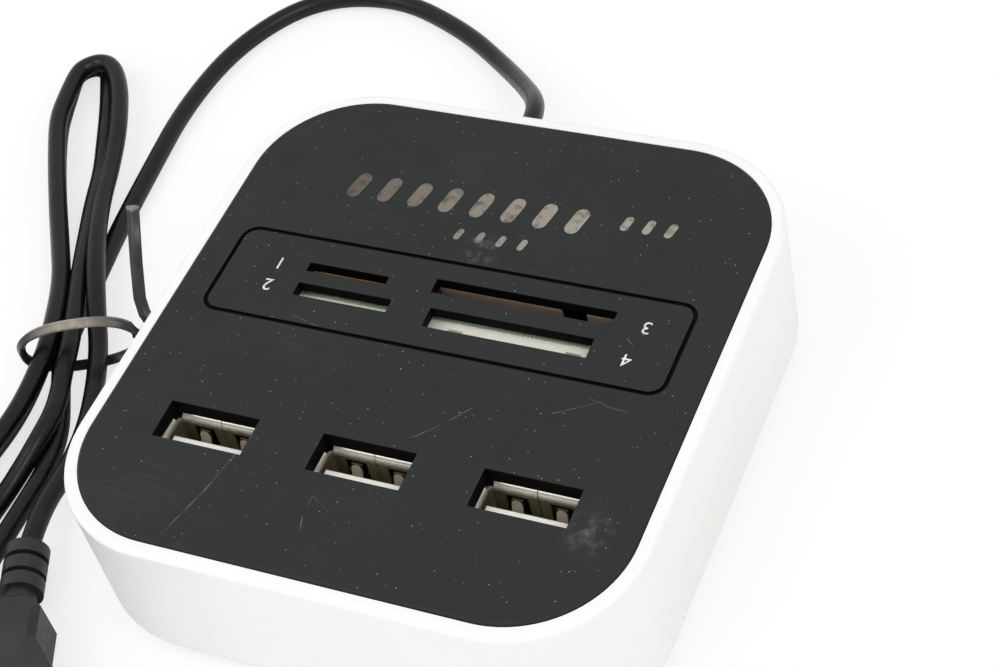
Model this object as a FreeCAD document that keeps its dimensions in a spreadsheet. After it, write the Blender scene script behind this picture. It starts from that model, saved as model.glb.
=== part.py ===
import FreeCAD, Part
import math
import os
import Sketcher
from FreeCAD import Placement, Rotation, Vector

# A desktop hub with three upright ports and four card slots, its cord tied in a hank beside it.
# Millimetres. +X is to the right, -Y is the port side, +Y is the cable side, +Z is up.
# The origin is on the table, under the middle of the case.

SIZES = {
    # Top plate
    "plate_width": 73.0,
    "plate_length": 76.4,
    "plate_corner": 14.75,
    "plate_thick": 1.6,
    "plate_proud": 0.3,
    "plate_edge_round": 0.45,
    "plate_gap": 0.1,
    # Case
    "case_height": 23.0,
    "case_wall": 2.8,
    "case_floor": 2.0,
    "rim_width": 1.8,
    "rim_round": 0.7,
    "case_foot_round": 3.0,
    # Feet and screws
    "foot_height": 0.8,
    "foot_seat": 0.6,
    "foot_radius": 4.2,
    "foot_round": 0.4,
    "fit_gap": 0.1,
    "screw_x": 26.5,
    "screw_y": 29.0,
    "screw_radius": 1.25,
    "screw_length": 11.0,
    "screw_head_radius": 2.3,
    "screw_head_depth": 1.3,
    "pilot_spare": 1.0,
    "post_radius": 2.9,
    "standoff_height": 2.2,
    # Main board
    "board_thick": 1.6,
    "board_gap": 0.8,
    # Ports
    "port_pitch": 21.5,
    "port_y": -20.57,
    "window_width": 12.6,
    "window_depth": 5.7,
    "collar_wall": 1.2,
    "collar_depth": 0.65,
    "port_inner_width": 12.5,
    "port_inner_depth": 5.12,
    "port_corner": 0.7,
    "sheet_thick": 0.3,
    "lip_gap": 0.05,
    "lip_bend": 0.9,
    "lip_angle": 60.0,
    "lip_long": 11.3,
    "lip_short": 3.9,
    "seam_width": 0.12,
    "tab_spacing": 5.8,
    "tab_width": 1.4,
    "tab_window_width": 3.0,
    "tab_window_top": 12.3,
    "tab_root": 6.4,
    "tab_bend": 9.4,
    "tab_tip": 11.7,
    "tab_reach_far": 0.85,
    "tab_reach_near": 0.4,
    "leg_width": 2.0,
    "leg_length": 2.6,
    "leg_gap": 0.2,
    "insulator_gap": 0.06,
    "insulator_base": 3.0,
    "tongue_width": 11.1,
    "tongue_thick": 1.84,
    "tongue_far": 0.01,
    "tongue_tip": 13.3,
    "tongue_bevel": 0.25,
    "contact_width": 1.0,
    "contact_thick": 0.2,
    "contact_inner": 1.0,
    "contact_outer": 3.5,
    "contact_bow": 0.5,
    "contact_tip": 12.2,
    "contact_slot_gap": 0.05,
    # Groove that frames the card slots
    "groove_width": 64.2,
    "groove_near": -2.67,
    "groove_far": 12.45,
    "groove_corner": 2.4,
    "groove_line": 0.6,
    "groove_depth": 0.35,
    # Card slots in the plate: middle, width, near edge and far edge
    "wide_slot_x": 9.74,
    "wide_slot_width": 24.7,
    "wide_slot_near": 6.74,
    "wide_slot_far": 9.1,
    "stick_slot_x": 9.65,
    "stick_slot_width": 22.3,
    "stick_slot_near": 1.16,
    "stick_slot_far": 4.3,
    "small_slot_x": -14.72,
    "small_slot_width": 11.5,
    "small_slot_near": 6.45,
    "small_slot_far": 7.97,
    "short_slot_x": -13.75,
    "short_slot_width": 13.44,
    "short_slot_near": 2.24,
    "short_slot_far": 4.41,
    # Reader board and card sockets
    "reader_near": 4.75,
    "reader_thick": 1.2,
    "reader_width": 52.0,
    "reader_drop": 2.8,
    "reader_tab_width": 5.0,
    "reader_tab_spacing": 19.0,
    "reader_tab_length": 2.4,
    "stick_floor_near": 3.2,
    "short_floor_near": 3.6,
    "socket_rail": 1.2,
    "socket_bottom": 8.2,
    "socket_stop": 1.0,
    "near_socket_drop": 2.9,
    "far_socket_drop": 1.75,
    "cover_thick": 0.25,
    "cover_flange": 1.1,
    "card_contact_width": 0.7,
    "card_contact_thick": 0.15,
    "card_contact_length": 7.5,
    "notch_width": 2.1,
    "notch_depth": 0.5,
    "notch_height": 1.2,
    "notch_left": -9.1,
    "notch_right": 7.05,
    "cover_gap_x": 6.2,
    "cover_gap_width": 3.4,
    "cover_gap_height": 2.6,
    # Chips and other parts on the main board
    "chip_length": 10.2,
    "chip_width": 5.3,
    "chip_height": 1.75,
    "chip_bevel": 0.35,
    "chip_standoff": 0.1,
    "lead_pitch": 0.65,
    "lead_width": 0.3,
    "lead_thick": 0.15,
    "lead_span": 7.8,
    "lead_foot": 0.6,
    "hub_chip_x": -10.0,
    "hub_chip_y": -8.0,
    "reader_chip_x": 6.0,
    "reader_chip_y": 20.0,
    "crystal_length": 10.6,
    "crystal_width": 4.4,
    "crystal_height": 3.4,
    "crystal_end_share": 0.48,
    "crystal_flange": 0.4,
    "crystal_base": 0.5,
    "hub_crystal_x": 7.0,
    "hub_crystal_y": -8.0,
    "reader_crystal_x": -12.0,
    "reader_crystal_y": 20.0,
    "capacitor_radius": 2.5,
    "capacitor_height": 7.0,
    "capacitor_crimp": 0.35,
    "capacitor_x": 21.0,
    "capacitor_y": -8.0,
    # Cable gland and the wires behind it
    "gland_x": -8.0,
    "gland_z": 11.0,
    "gland_hole_radius": 2.7,
    "gland_collar_radius": 3.5,
    "gland_collar_thick": 0.9,
    "gland_inner_thick": 1.2,
    "gland_length": 3.5,
    "gland_end_radius": 2.0,
    "wire_diameter": 0.9,
    "wire_pitch": 1.2,
    "wire_run": 5.0,
    "wire_start_drop": 0.6,
    # Cord
    "cord_diameter": 2.8,
    "hank_height": 6.0,
    "tie_x": -60.0,
    "tie_y": 0.4,
    "tie_strip_width": 1.6,
    "tie_thick": 0.9,
    "tie_tail_diameter": 1.2,
    "tie_width": 16.8,
    "tie_height": 8.2,
    "tie_round": 4.0,
    "tie_turn": 30.0,
    "tie_gap": 0.2,
    "tie_channel_height": 2.9,
    # Plug
    "plug_x": -48.0,
    "plug_y": -32.9,
    "plug_turn": 23.0,
    "relief_rib_radius": 2.9,
    "relief_neck_radius": 2.1,
    "relief_rib_length": 1.9,
    "relief_rib_pitch": 2.6,
    "relief_length": 9.3,
    "plug_rear_width": 8.6,
    "plug_rear_length": 7.0,
    "plug_shoulder": 2.2,
    "plug_width": 15.6,
    "plug_flare_length": 6.0,
    "plug_front_length": 13.0,
    "plug_thick": 8.2,
    "plug_bevel": 0.9,
    "plug_shell_width": 12.0,
    "plug_shell_thick": 4.5,
    "plug_shell_length": 12.0,
    "plug_shell_corner": 0.6,
    "plug_hole": 2.2,
    "plug_hole_spacing": 5.0,
    "plug_hole_back": 6.4,
    "plug_block_thick": 1.9,
    "plug_block_recess": 0.3,
    "plug_contact_length": 7.4,
}

# The cord's free stretch, from the gland to the hank, and the stretch from the hank to the plug
CORD_LEAD = [
    (-8.0, 43.6, 11.0),
    (-8.0, 49.4, 11.0),
    (-9.5, 55.0, 9.6),
    (-13.9, 60.9, 6.3),
    (-21.2, 68.4, 2.7),
    (-31.6, 76.2, 1.5),
    (-45.5, 81.6, 1.6),
    (-59.4, 78.8, 1.5),
    (-67.2, 66.5, 1.6),
    (-69.4, 51.5, 1.5),
    (-68.1, 37.0, 1.8),
    (-66.8, 25.0, 2.4),
    (-65.0, 14.0, 3.0),
]
CORD_TAIL = [
    (-57.2, -0.8, 3.0),
    (-55.3, -5.6, 2.8),
    (-53.6, -12.0, 2.6),
    (-52.0, -19.4, 3.2),
    (-50.42, -27.2, 4.1),
    (-48.0, -32.9, 4.1),
]
ARC_SHARE = 0.45

# The hank in plan: its tied waist, and the round ends of its back and front loops
HANK_WAIST = (-61.0, 1.6)
HANK_BACK = (-86.6, 51.6)
HANK_FRONT = (-59.4, -46.5)
HANK_RADIUS = {"waist": 5.2, "back": 6.6, "front": 6.2}
HANK_EYE = {
    "back": ((-84.2, 47.0), 2.9, (-75.2, 29.6), 1.4),
    "front": ((-59.6, -42.6), 2.4, (-60.3, -19.0), 1.2),
}
TIE_TAIL = [(-50.3, 6.0, 4.6), (-52.0, 7.4, 7.0), (-52.7, 14.7, 19.6)]

doc = FreeCAD.newDocument("hub_card_reader")
sheet = doc.addObject("Spreadsheet::Sheet", "sizes")
for row, (alias, value) in enumerate(SIZES.items(), start=1):
    sheet.set(f"A{row}", alias)
    sheet.set(f"B{row}", str(value))
    sheet.setAlias(f"B{row}", alias)
doc.recompute()

# Levels and outlines that several pieces share, as expressions of the sheet's cells
CASE_WIDTH = "(sizes.plate_width + 2 * (sizes.rim_width + sizes.plate_gap))"
CASE_LENGTH = "(sizes.plate_length + 2 * (sizes.rim_width + sizes.plate_gap))"
CASE_CORNER = "(sizes.plate_corner + sizes.rim_width + sizes.plate_gap)"
RIM_TOP = "(sizes.case_height - sizes.plate_proud)"
PLATE_UNDER = "(sizes.case_height - sizes.plate_thick)"
FLOOR_TOP = "(sizes.foot_height + sizes.case_floor)"
BOARD_UNDER = f"({FLOOR_TOP} + sizes.standoff_height)"
BOARD_TOP = f"({BOARD_UNDER} + sizes.board_thick)"
HEAD_SEAT = "(sizes.foot_height + sizes.foot_seat + sizes.screw_head_depth)"
READER_FAR = "(sizes.reader_near + sizes.reader_thick)"
READER_TOP = "(sizes.case_height - sizes.reader_drop)"
PORT_OUTER_WIDTH = "(sizes.port_inner_width + 2 * sizes.sheet_thick)"
PORT_OUTER_DEPTH = "(sizes.port_inner_depth + 2 * sizes.sheet_thick)"
PORT_TOP = f"({PLATE_UNDER} - sizes.collar_depth - sizes.lip_gap - {BOARD_TOP})"
LIP_START = f"({PORT_TOP} - (sizes.lip_bend + sizes.sheet_thick) * sin(sizes.lip_angle * 1 deg))"
PLUG_BACK = "(sizes.relief_length + sizes.plug_rear_length)"
PLUG_FACE = f"({PLUG_BACK} + sizes.plug_flare_length + sizes.plug_front_length)"

nodes = []


def number(expression):
    """Value of an expression of the sheet's cells."""
    return float(sheet.evalExpression(expression))


def keep(piece, label):
    """Names a finished piece and puts it on the list of nodes."""
    piece.Label = label
    nodes.append(piece)
    return piece


def new_body(name, x="0", y="0", z="0"):
    """Empty body whose own origin stands at x, y, z."""
    body = doc.addObject("PartDesign::Body", name)
    for axis, place in (("x", x), ("y", y), ("z", z)):
        body.setExpression(f"Placement.Base.{axis}", place)
    return body


def sketch_on(body, role, x="0", y="0", off="0"):
    """Empty sketch on an origin plane of the body, moved by x and y in the plane and off it."""
    sketch = body.newObject("Sketcher::SketchObject", f"{body.Name}_sketch")
    plane = next(feature for feature in body.Origin.OriginFeatures if feature.Role == role)
    sketch.AttachmentSupport = [(plane, "")]
    sketch.MapMode = "FlatFace"
    for axis, place in (("x", x), ("y", y), ("z", off)):
        sketch.setExpression(f"AttachmentOffset.Base.{axis}", place)
    return sketch


def pin(sketch, geometry, point, x, y):
    """Ties a point of the sketch to x and y."""
    for kind, place in (("DistanceX", x), ("DistanceY", y)):
        index = sketch.addConstraint(Sketcher.Constraint(kind, -1, 1, geometry, point, number(place)))
        sketch.renameConstraint(index, f"{kind}_{geometry}_{point}")
        sketch.setExpression(f"Constraints.{kind}_{geometry}_{point}", place)


def set_radius(sketch, geometry, radius):
    """Ties the radius of a circle or arc of the sketch."""
    index = sketch.addConstraint(Sketcher.Constraint("Radius", geometry, number(radius)))
    sketch.renameConstraint(index, f"radius_{geometry}")
    sketch.setExpression(f"Constraints.radius_{geometry}", radius)


def add_loop(sketch, corners):
    """Closed outline of straight edges through the corners, each an x and a y."""
    places = [Vector(number(x), number(y), 0) for x, y in corners]
    ends = places[1:] + places[:1]
    lines = [sketch.addGeometry(Part.LineSegment(a, b), False) for a, b in zip(places, ends)]
    for line, following in zip(lines, lines[1:] + lines[:1]):
        sketch.addConstraint(Sketcher.Constraint("Coincident", line, 2, following, 1))
    for line, (x, y) in zip(lines, corners):
        pin(sketch, line, 1, x, y)


def add_rectangle(sketch, left, right, near, far):
    """Rectangle between two x and two y."""
    add_loop(sketch, [(left, near), (right, near), (right, far), (left, far)])


def add_centred(sketch, width, depth, x="0", y="0"):
    """Rectangle about x, y."""
    add_rectangle(
        sketch, f"{x} - {width} / 2", f"{x} + {width} / 2", f"{y} - {depth} / 2", f"{y} + {depth} / 2")


def add_rounded(sketch, width, depth, radius, x="0", y="0"):
    """Rectangle about x, y with round corners."""
    arcs = []
    for quarter, (side, end) in enumerate(((1, 1), (-1, 1), (-1, -1), (1, -1))):
        centre_x = f"{x} + ({side}) * ({width} / 2 - {radius})"
        centre_y = f"{y} + ({end}) * ({depth} / 2 - {radius})"
        circle = Part.Circle(Vector(number(centre_x), number(centre_y), 0), Vector(0, 0, 1), number(radius))
        start = quarter * math.pi / 2
        arc = sketch.addGeometry(Part.ArcOfCircle(circle, start, start + math.pi / 2), False)
        pin(sketch, arc, 3, centre_x, centre_y)
        set_radius(sketch, arc, radius)
        arcs.append(arc)
    for arc, following in zip(arcs, arcs[1:] + arcs[:1]):
        end_point = sketch.getPoint(arc, 2)
        start_point = sketch.getPoint(following, 1)
        line = sketch.addGeometry(Part.LineSegment(end_point, start_point), False)
        sketch.addConstraint(Sketcher.Constraint("Tangent", arc, 2, line, 1))
        sketch.addConstraint(Sketcher.Constraint("Tangent", line, 2, following, 1))


def add_circle(sketch, radius, x="0", y="0"):
    """Circle about x, y."""
    centre = Vector(number(x), number(y), 0)
    circle = sketch.addGeometry(Part.Circle(centre, Vector(0, 0, 1), number(radius)), False)
    pin(sketch, circle, 3, x, y)
    set_radius(sketch, circle, radius)


def pad(body, sketch, length, reverse=False, both_ways=False):
    """Adds the sketch's outline, drawn out to a length."""
    feature = body.newObject("PartDesign::Pad", f"{body.Name}_pad")
    feature.Profile = sketch
    feature.setExpression("Length", length)
    feature.Reversed = reverse
    if both_ways:
        feature.SideType = "Symmetric"
    doc.recompute()
    return feature


def pocket(body, sketch, length, reverse=False):
    """Cuts the sketch's outline to a depth, and makes sure that something was cut."""
    before = body.Tip.Shape.Volume
    feature = body.newObject("PartDesign::Pocket", f"{body.Name}_pocket")
    feature.Profile = sketch
    feature.setExpression("Length", length)
    feature.Reversed = reverse
    doc.recompute()
    if feature.Shape.Volume >= before:
        raise RuntimeError(f"{feature.Name} cuts nothing")
    return feature


def revolve(body, sketch):
    """Turns the sketch's outline about its upright axis."""
    feature = body.newObject("PartDesign::Revolution", f"{body.Name}_turned")
    feature.Profile = sketch
    feature.ReferenceAxis = (sketch, ["V_Axis"])
    feature.Angle = 360
    doc.recompute()
    return feature


def edges_where(feature, test):
    """Names of the feature's edges whose box passes the test."""
    edges = enumerate(feature.Shape.Edges, start=1)
    return [f"Edge{index}" for index, edge in edges if test(edge.BoundBox)]


def edges_at_height(feature, height):
    """Names of the feature's edges that lie level at a height."""
    place = number(height)
    return edges_where(feature, lambda box: max(abs(box.ZMin - place), abs(box.ZMax - place)) < 1e-4)


def fillet(body, names, radius):
    """Rounds the named edges of the body's last feature."""
    base = body.Tip
    feature = body.newObject("PartDesign::Fillet", f"{body.Name}_round")
    feature.Base = (base, names)
    feature.setExpression("Radius", radius)
    doc.recompute()
    return feature


def chamfer(body, names, size):
    """Bevels the named edges of the body's last feature."""
    base = body.Tip
    feature = body.newObject("PartDesign::Chamfer", f"{body.Name}_bevel")
    feature.Base = (base, names)
    feature.setExpression("Size", size)
    doc.recompute()
    return feature


def pattern(body, feature, role, length, count):
    """Repeats a feature along an origin axis of the body, over a length."""
    axis = next(line for line in body.Origin.OriginFeatures if line.Role == role)
    row_of = body.newObject("PartDesign::LinearPattern", f"{body.Name}_row")
    row_of.Originals = [feature]
    row_of.Direction = (axis, [""])
    row_of.setExpression("Length", length)
    row_of.Occurrences = count
    body.Tip = row_of
    doc.recompute()
    return row_of


SCREW_PLACES = [(side, end) for end in (-1, 1) for side in (-1, 1)]


def add_screw_circles(sketch, radius):
    """Four circles at the screws' places."""
    for side, end in SCREW_PLACES:
        add_circle(sketch, radius, f"({side}) * sizes.screw_x", f"({end}) * sizes.screw_y")


def make_case_shell():
    """White tub: side walls, floor, the rebate that takes the plate, standoffs and foot seats."""
    body = new_body("case_shell")
    outline = sketch_on(body, "XY_Plane", off="sizes.foot_height")
    add_rounded(outline, CASE_WIDTH, CASE_LENGTH, CASE_CORNER)
    block = pad(body, outline, f"{RIM_TOP} - sizes.foot_height")
    fillet(body, edges_at_height(block, "sizes.foot_height"), "sizes.case_foot_round")
    fillet(body, edges_at_height(body.Tip, RIM_TOP), "sizes.rim_round")

    cavity = sketch_on(body, "XY_Plane", off=RIM_TOP)
    inner = [f"({size} - 2 * sizes.case_wall)" for size in (CASE_WIDTH, CASE_LENGTH)]
    add_rounded(cavity, inner[0], inner[1], f"({CASE_CORNER} - sizes.case_wall)")
    pocket(body, cavity, f"{RIM_TOP} - {FLOOR_TOP}")

    rebate = sketch_on(body, "XY_Plane", off=RIM_TOP)
    add_rounded(
        rebate, "(sizes.plate_width + 2 * sizes.plate_gap)", "(sizes.plate_length + 2 * sizes.plate_gap)",
        "(sizes.plate_corner + sizes.plate_gap)")
    pocket(body, rebate, "sizes.plate_thick - sizes.plate_proud")

    standoffs = sketch_on(body, "XY_Plane", off=FLOOR_TOP)
    add_screw_circles(standoffs, "sizes.post_radius")
    pad(body, standoffs, "sizes.standoff_height")

    seats = sketch_on(body, "XY_Plane", off="sizes.foot_height")
    add_screw_circles(seats, "(sizes.foot_radius + sizes.fit_gap)")
    pocket(body, seats, "sizes.foot_seat", reverse=True)

    heads = sketch_on(body, "XY_Plane", off="sizes.foot_height + sizes.foot_seat")
    add_screw_circles(heads, "(sizes.screw_head_radius + sizes.fit_gap)")
    pocket(body, heads, "sizes.screw_head_depth", reverse=True)

    holes = sketch_on(body, "XY_Plane", off=HEAD_SEAT)
    add_screw_circles(holes, "(sizes.screw_radius + sizes.fit_gap)")
    pocket(body, holes, f"{BOARD_UNDER} - {HEAD_SEAT}", reverse=True)

    outlet = sketch_on(body, "XZ_Plane", off=f"-{CASE_LENGTH} / 2")
    add_circle(outlet, "sizes.gland_hole_radius", "sizes.gland_x", "sizes.gland_z")
    pocket(body, outlet, "sizes.case_wall", reverse=True)
    keep(body, "case_shell")


def port_places():
    """Name and x of each port."""
    return [("left", "-sizes.port_pitch"), ("middle", "0"), ("right", "sizes.port_pitch")]


SLOTS = ("wide", "stick", "small", "short")


def make_top_plate():
    """Dark plate with the port windows and card slots, their groove, collars and screw posts."""
    body = new_body("top_plate")
    outline = sketch_on(body, "XY_Plane", off=PLATE_UNDER)
    add_rounded(outline, "sizes.plate_width", "sizes.plate_length", "sizes.plate_corner")
    sheet_of_plate = pad(body, outline, "sizes.plate_thick")
    fillet(body, edges_at_height(sheet_of_plate, "sizes.case_height"), "sizes.plate_edge_round")

    groove = sketch_on(body, "XY_Plane", off="sizes.case_height")
    groove_depth = "(sizes.groove_far - sizes.groove_near)"
    groove_y = "(sizes.groove_far + sizes.groove_near) / 2"
    line = "2 * sizes.groove_line"
    add_rounded(groove, "sizes.groove_width", groove_depth, "sizes.groove_corner", y=groove_y)
    add_rounded(
        groove, f"(sizes.groove_width - {line})", f"({groove_depth} - {line})",
        "(sizes.groove_corner - sizes.groove_line)", y=groove_y)
    pocket(body, groove, "sizes.groove_depth")

    openings = sketch_on(body, "XY_Plane", off="sizes.case_height")
    for _, port_x in port_places():
        add_centred(openings, "sizes.window_width", "sizes.window_depth", port_x, "sizes.port_y")
    for slot in SLOTS:
        middle = f"sizes.{slot}_slot_x"
        half = f"sizes.{slot}_slot_width / 2"
        near = f"sizes.{slot}_slot_near"
        add_rectangle(openings, f"{middle} - {half}", f"{middle} + {half}", near, f"sizes.{slot}_slot_far")
    pocket(body, openings, "sizes.plate_thick")

    collars = sketch_on(body, "XY_Plane", off=PLATE_UNDER)
    for _, port_x in port_places():
        add_centred(collars, "sizes.window_width", "sizes.window_depth", port_x, "sizes.port_y")
        add_centred(
            collars, "(sizes.window_width + 2 * sizes.collar_wall)",
            "(sizes.window_depth + 2 * sizes.collar_wall)", port_x, "sizes.port_y")
    pad(body, collars, "sizes.collar_depth", reverse=True)

    posts = sketch_on(body, "XY_Plane", off=PLATE_UNDER)
    add_screw_circles(posts, "sizes.post_radius")
    pad(body, posts, f"{PLATE_UNDER} - {BOARD_TOP}", reverse=True)

    pilots = sketch_on(body, "XY_Plane", off=BOARD_TOP)
    add_screw_circles(pilots, "(sizes.screw_radius + sizes.fit_gap / 2)")
    pocket(body, pilots, f"{HEAD_SEAT} + sizes.screw_length + sizes.pilot_spare - {BOARD_TOP}", reverse=True)
    keep(body, "top_plate")


def make_feet():
    """Round rubber feet, which cover the case screws."""
    for side, end in SCREW_PLACES:
        label = f"foot_{'front' if end < 0 else 'back'}_{'left' if side < 0 else 'right'}"
        body = new_body(label, f"({side}) * sizes.screw_x", f"({end}) * sizes.screw_y")
        outline = sketch_on(body, "XY_Plane")
        add_circle(outline, "sizes.foot_radius")
        disc = pad(body, outline, "sizes.foot_height + sizes.foot_seat")
        fillet(body, edges_at_height(disc, "0"), "sizes.foot_round")
        keep(body, label)


def make_case_screws():
    """Four screws that clamp the case, the main board and the plate's posts."""
    screws = []
    for side, end in SCREW_PLACES:
        cylinders = []
        for radius, height, low in (
            ("sizes.screw_head_radius", "sizes.screw_head_depth", f"{HEAD_SEAT} - sizes.screw_head_depth"),
            ("sizes.screw_radius", "sizes.screw_length", HEAD_SEAT),
        ):
            cylinder = doc.addObject("Part::Cylinder", "screw_length")
            cylinder.setExpression("Radius", radius)
            cylinder.setExpression("Height", height)
            cylinder.setExpression("Placement.Base.x", f"({side}) * sizes.screw_x")
            cylinder.setExpression("Placement.Base.y", f"({end}) * sizes.screw_y")
            cylinder.setExpression("Placement.Base.z", low)
            cylinders.append(cylinder)
        screw = doc.addObject("Part::Fuse", "screw")
        screw.Base, screw.Tool = cylinders
        screws.append(screw)
    group = doc.addObject("Part::Compound", "case_screws")
    group.Links = screws
    keep(group, "case_screws")


CONTACT_PLACES = [f"({side}) * sizes.contact_{row}" for side in (-1, 1) for row in ("inner", "outer")]
CONTACT_Y = "(sizes.tongue_far + sizes.contact_thick / 2)"


def make_main_board():
    """Main board on the standoffs, with holes for screws, port legs, pins and reader board tabs."""
    body = new_body("main_board")
    outline = sketch_on(body, "XY_Plane", off=BOARD_UNDER)
    inset = "2 * (sizes.case_wall + sizes.board_gap)"
    add_rounded(
        outline, f"({CASE_WIDTH} - {inset})", f"({CASE_LENGTH} - {inset})",
        f"({CASE_CORNER} - {inset} / 2)")
    pad(body, outline, "sizes.board_thick")

    holes = sketch_on(body, "XY_Plane", off=BOARD_TOP)
    add_screw_circles(holes, "(sizes.screw_radius + sizes.fit_gap)")
    for _, port_x in port_places():
        for side in (-1, 1):
            leg_x = f"{port_x} + ({side}) * ({PORT_OUTER_WIDTH} - sizes.sheet_thick) / 2"
            add_centred(
                holes, "(sizes.sheet_thick + 2 * sizes.leg_gap)", "(sizes.leg_width + 2 * sizes.leg_gap)",
                leg_x, "sizes.port_y")
        for contact_x in CONTACT_PLACES:
            add_circle(
                holes, "(sizes.contact_width / 2 + sizes.leg_gap)", f"{port_x} + {contact_x}",
                f"sizes.port_y + {CONTACT_Y}")
    for place in (-1, 0, 1):
        add_centred(
            holes, "(sizes.reader_tab_width + 2 * sizes.fit_gap)", "(sizes.reader_thick + 2 * sizes.fit_gap)",
            f"({place}) * sizes.reader_tab_spacing", "(sizes.reader_near + sizes.reader_thick / 2)")
    pocket(body, holes, "sizes.board_thick")
    keep(body, "main_board")


def make_reader_board():
    """Upright board that carries the card sockets, with three tabs in the main board's slots."""
    body = new_body("reader_board")
    panel = sketch_on(body, "XZ_Plane", off=f"-{READER_FAR}")
    half = "sizes.reader_width / 2"
    add_rectangle(panel, f"-{half}", half, BOARD_TOP, READER_TOP)
    pad(body, panel, "sizes.reader_thick")
    tabs = sketch_on(body, "XZ_Plane", off=f"-{READER_FAR}")
    for place in (-1, 0, 1):
        middle = f"({place}) * sizes.reader_tab_spacing"
        tab_half = "sizes.reader_tab_width / 2"
        low = f"{BOARD_TOP} - sizes.reader_tab_length"
        add_rectangle(tabs, f"{middle} - {tab_half}", f"{middle} + {tab_half}", low, BOARD_TOP)
    pad(body, tabs, "sizes.reader_thick")
    keep(body, "reader_board")


def lip_outline(sketch, wall):
    """Section of a flared lip that leaves an upright wall whose inner face is at wall."""
    bend_x = f"({wall} + sizes.sheet_thick + sizes.lip_bend)"
    centre = Vector(number(bend_x), number(LIP_START), 0)
    start = math.pi - math.radians(number("sizes.lip_angle"))
    arcs = []
    for radius in ("(sizes.lip_bend + sizes.sheet_thick)", "sizes.lip_bend"):
        circle = Part.Circle(centre, Vector(0, 0, 1), number(radius))
        arc = sketch.addGeometry(Part.ArcOfCircle(circle, start, math.pi), False)
        pin(sketch, arc, 3, bend_x, LIP_START)
        end_x = f"{bend_x} - {radius} * cos(sizes.lip_angle * 1 deg)"
        end_y = f"{LIP_START} + {radius} * sin(sizes.lip_angle * 1 deg)"
        pin(sketch, arc, 1, end_x, end_y)
        arcs.append(arc)
    for point in (1, 2):
        ends = [sketch.getPoint(arc, point) for arc in arcs]
        line = sketch.addGeometry(Part.LineSegment(*ends), False)
        for arc, end in zip(arcs, (1, 2)):
            sketch.addConstraint(Sketcher.Constraint("Coincident", arc, point, line, end))
        if point == 2:
            sketch.addConstraint(Sketcher.Constraint("Horizontal", line))


def mirrored(body, feature, role):
    """Repeats a feature on the other side of an origin plane of the body."""
    plane = next(part for part in body.Origin.OriginFeatures if part.Role == role)
    copy = body.newObject("PartDesign::Mirrored", f"{body.Name}_mirrored")
    copy.Originals = [feature]
    copy.MirrorPlane = (plane, [""])
    body.Tip = copy
    doc.recompute()
    return copy


def add_tab_outline(sketch, sign, reach):
    """Section of a spring tab: it leans in from its root in the wall, and back out to its tip."""
    wall = "sizes.port_inner_depth / 2"
    sheet_thick = "sizes.sheet_thick"
    outline = [
        (wall, f"sizes.tab_root - {sheet_thick}"),
        (f"{wall} + {sheet_thick}", f"sizes.tab_root - {sheet_thick}"),
        (f"{wall} + {sheet_thick}", "sizes.tab_root"),
        (f"{wall} - {reach} + {sheet_thick}", "sizes.tab_bend"),
        (f"{wall} + {sheet_thick} / 2", "sizes.tab_tip"),
        (f"{wall} - {sheet_thick} / 2", "sizes.tab_tip"),
        (f"{wall} - {reach}", "sizes.tab_bend"),
    ]
    add_loop(sketch, [(f"({sign}) * ({y})", z) for y, z in outline])


def make_port_shell(name, port_x):
    """Folded steel shell: flared lips, a butt seam at the back, four spring tabs and two legs."""
    body = new_body(f"{name}_port_shell", port_x, "sizes.port_y", BOARD_TOP)
    tube = sketch_on(body, "XY_Plane")
    add_rounded(tube, PORT_OUTER_WIDTH, PORT_OUTER_DEPTH, "sizes.port_corner")
    add_rounded(
        tube, "sizes.port_inner_width", "sizes.port_inner_depth", "(sizes.port_corner - sizes.sheet_thick)")
    pad(body, tube, LIP_START)

    legs = sketch_on(body, "XY_Plane")
    for side in (-1, 1):
        add_centred(
            legs, "sizes.sheet_thick", "sizes.leg_width",
            f"({side}) * ({PORT_OUTER_WIDTH} - sizes.sheet_thick) / 2")
    pad(body, legs, "sizes.leg_length", reverse=True)

    windows = sketch_on(body, "XZ_Plane", off=f"-{PORT_OUTER_DEPTH} / 2")
    for side in (-1, 1):
        middle = f"({side}) * sizes.tab_spacing / 2"
        half = "sizes.tab_window_width / 2"
        add_rectangle(
            windows, f"{middle} - {half}", f"{middle} + {half}", "sizes.tab_root", "sizes.tab_window_top")
    pocket(body, windows, PORT_OUTER_DEPTH, reverse=True)

    for wall_sign, reach in ((1, "sizes.tab_reach_far"), (-1, "sizes.tab_reach_near")):
        tab = sketch_on(body, "YZ_Plane", off="sizes.tab_spacing / 2")
        add_tab_outline(tab, wall_sign, reach)
        strip = pad(body, tab, "sizes.tab_width", both_ways=True)
        mirrored(body, strip, "YZ_Plane")

    for role, wall_half, mirror_role, length in (
        ("YZ_Plane", "sizes.port_inner_depth / 2", "XZ_Plane", "sizes.lip_long"),
        ("XZ_Plane", "sizes.port_inner_width / 2", "YZ_Plane", "sizes.lip_short"),
    ):
        section = sketch_on(body, role)
        lip_outline(section, wall_half)
        lip = pad(body, section, length, both_ways=True)
        mirrored(body, lip, mirror_role)

    seam = sketch_on(body, "XY_Plane", off=PORT_TOP)
    half_seam = "sizes.seam_width / 2"
    reach = f"{PORT_OUTER_DEPTH} / 2 + sizes.lip_bend"
    add_rectangle(seam, f"-{half_seam}", half_seam, "sizes.port_inner_depth / 4", reach)
    pocket(body, seam, f"{PORT_TOP} - sizes.insulator_base")
    keep(body, f"{name}_port_shell")


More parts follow.
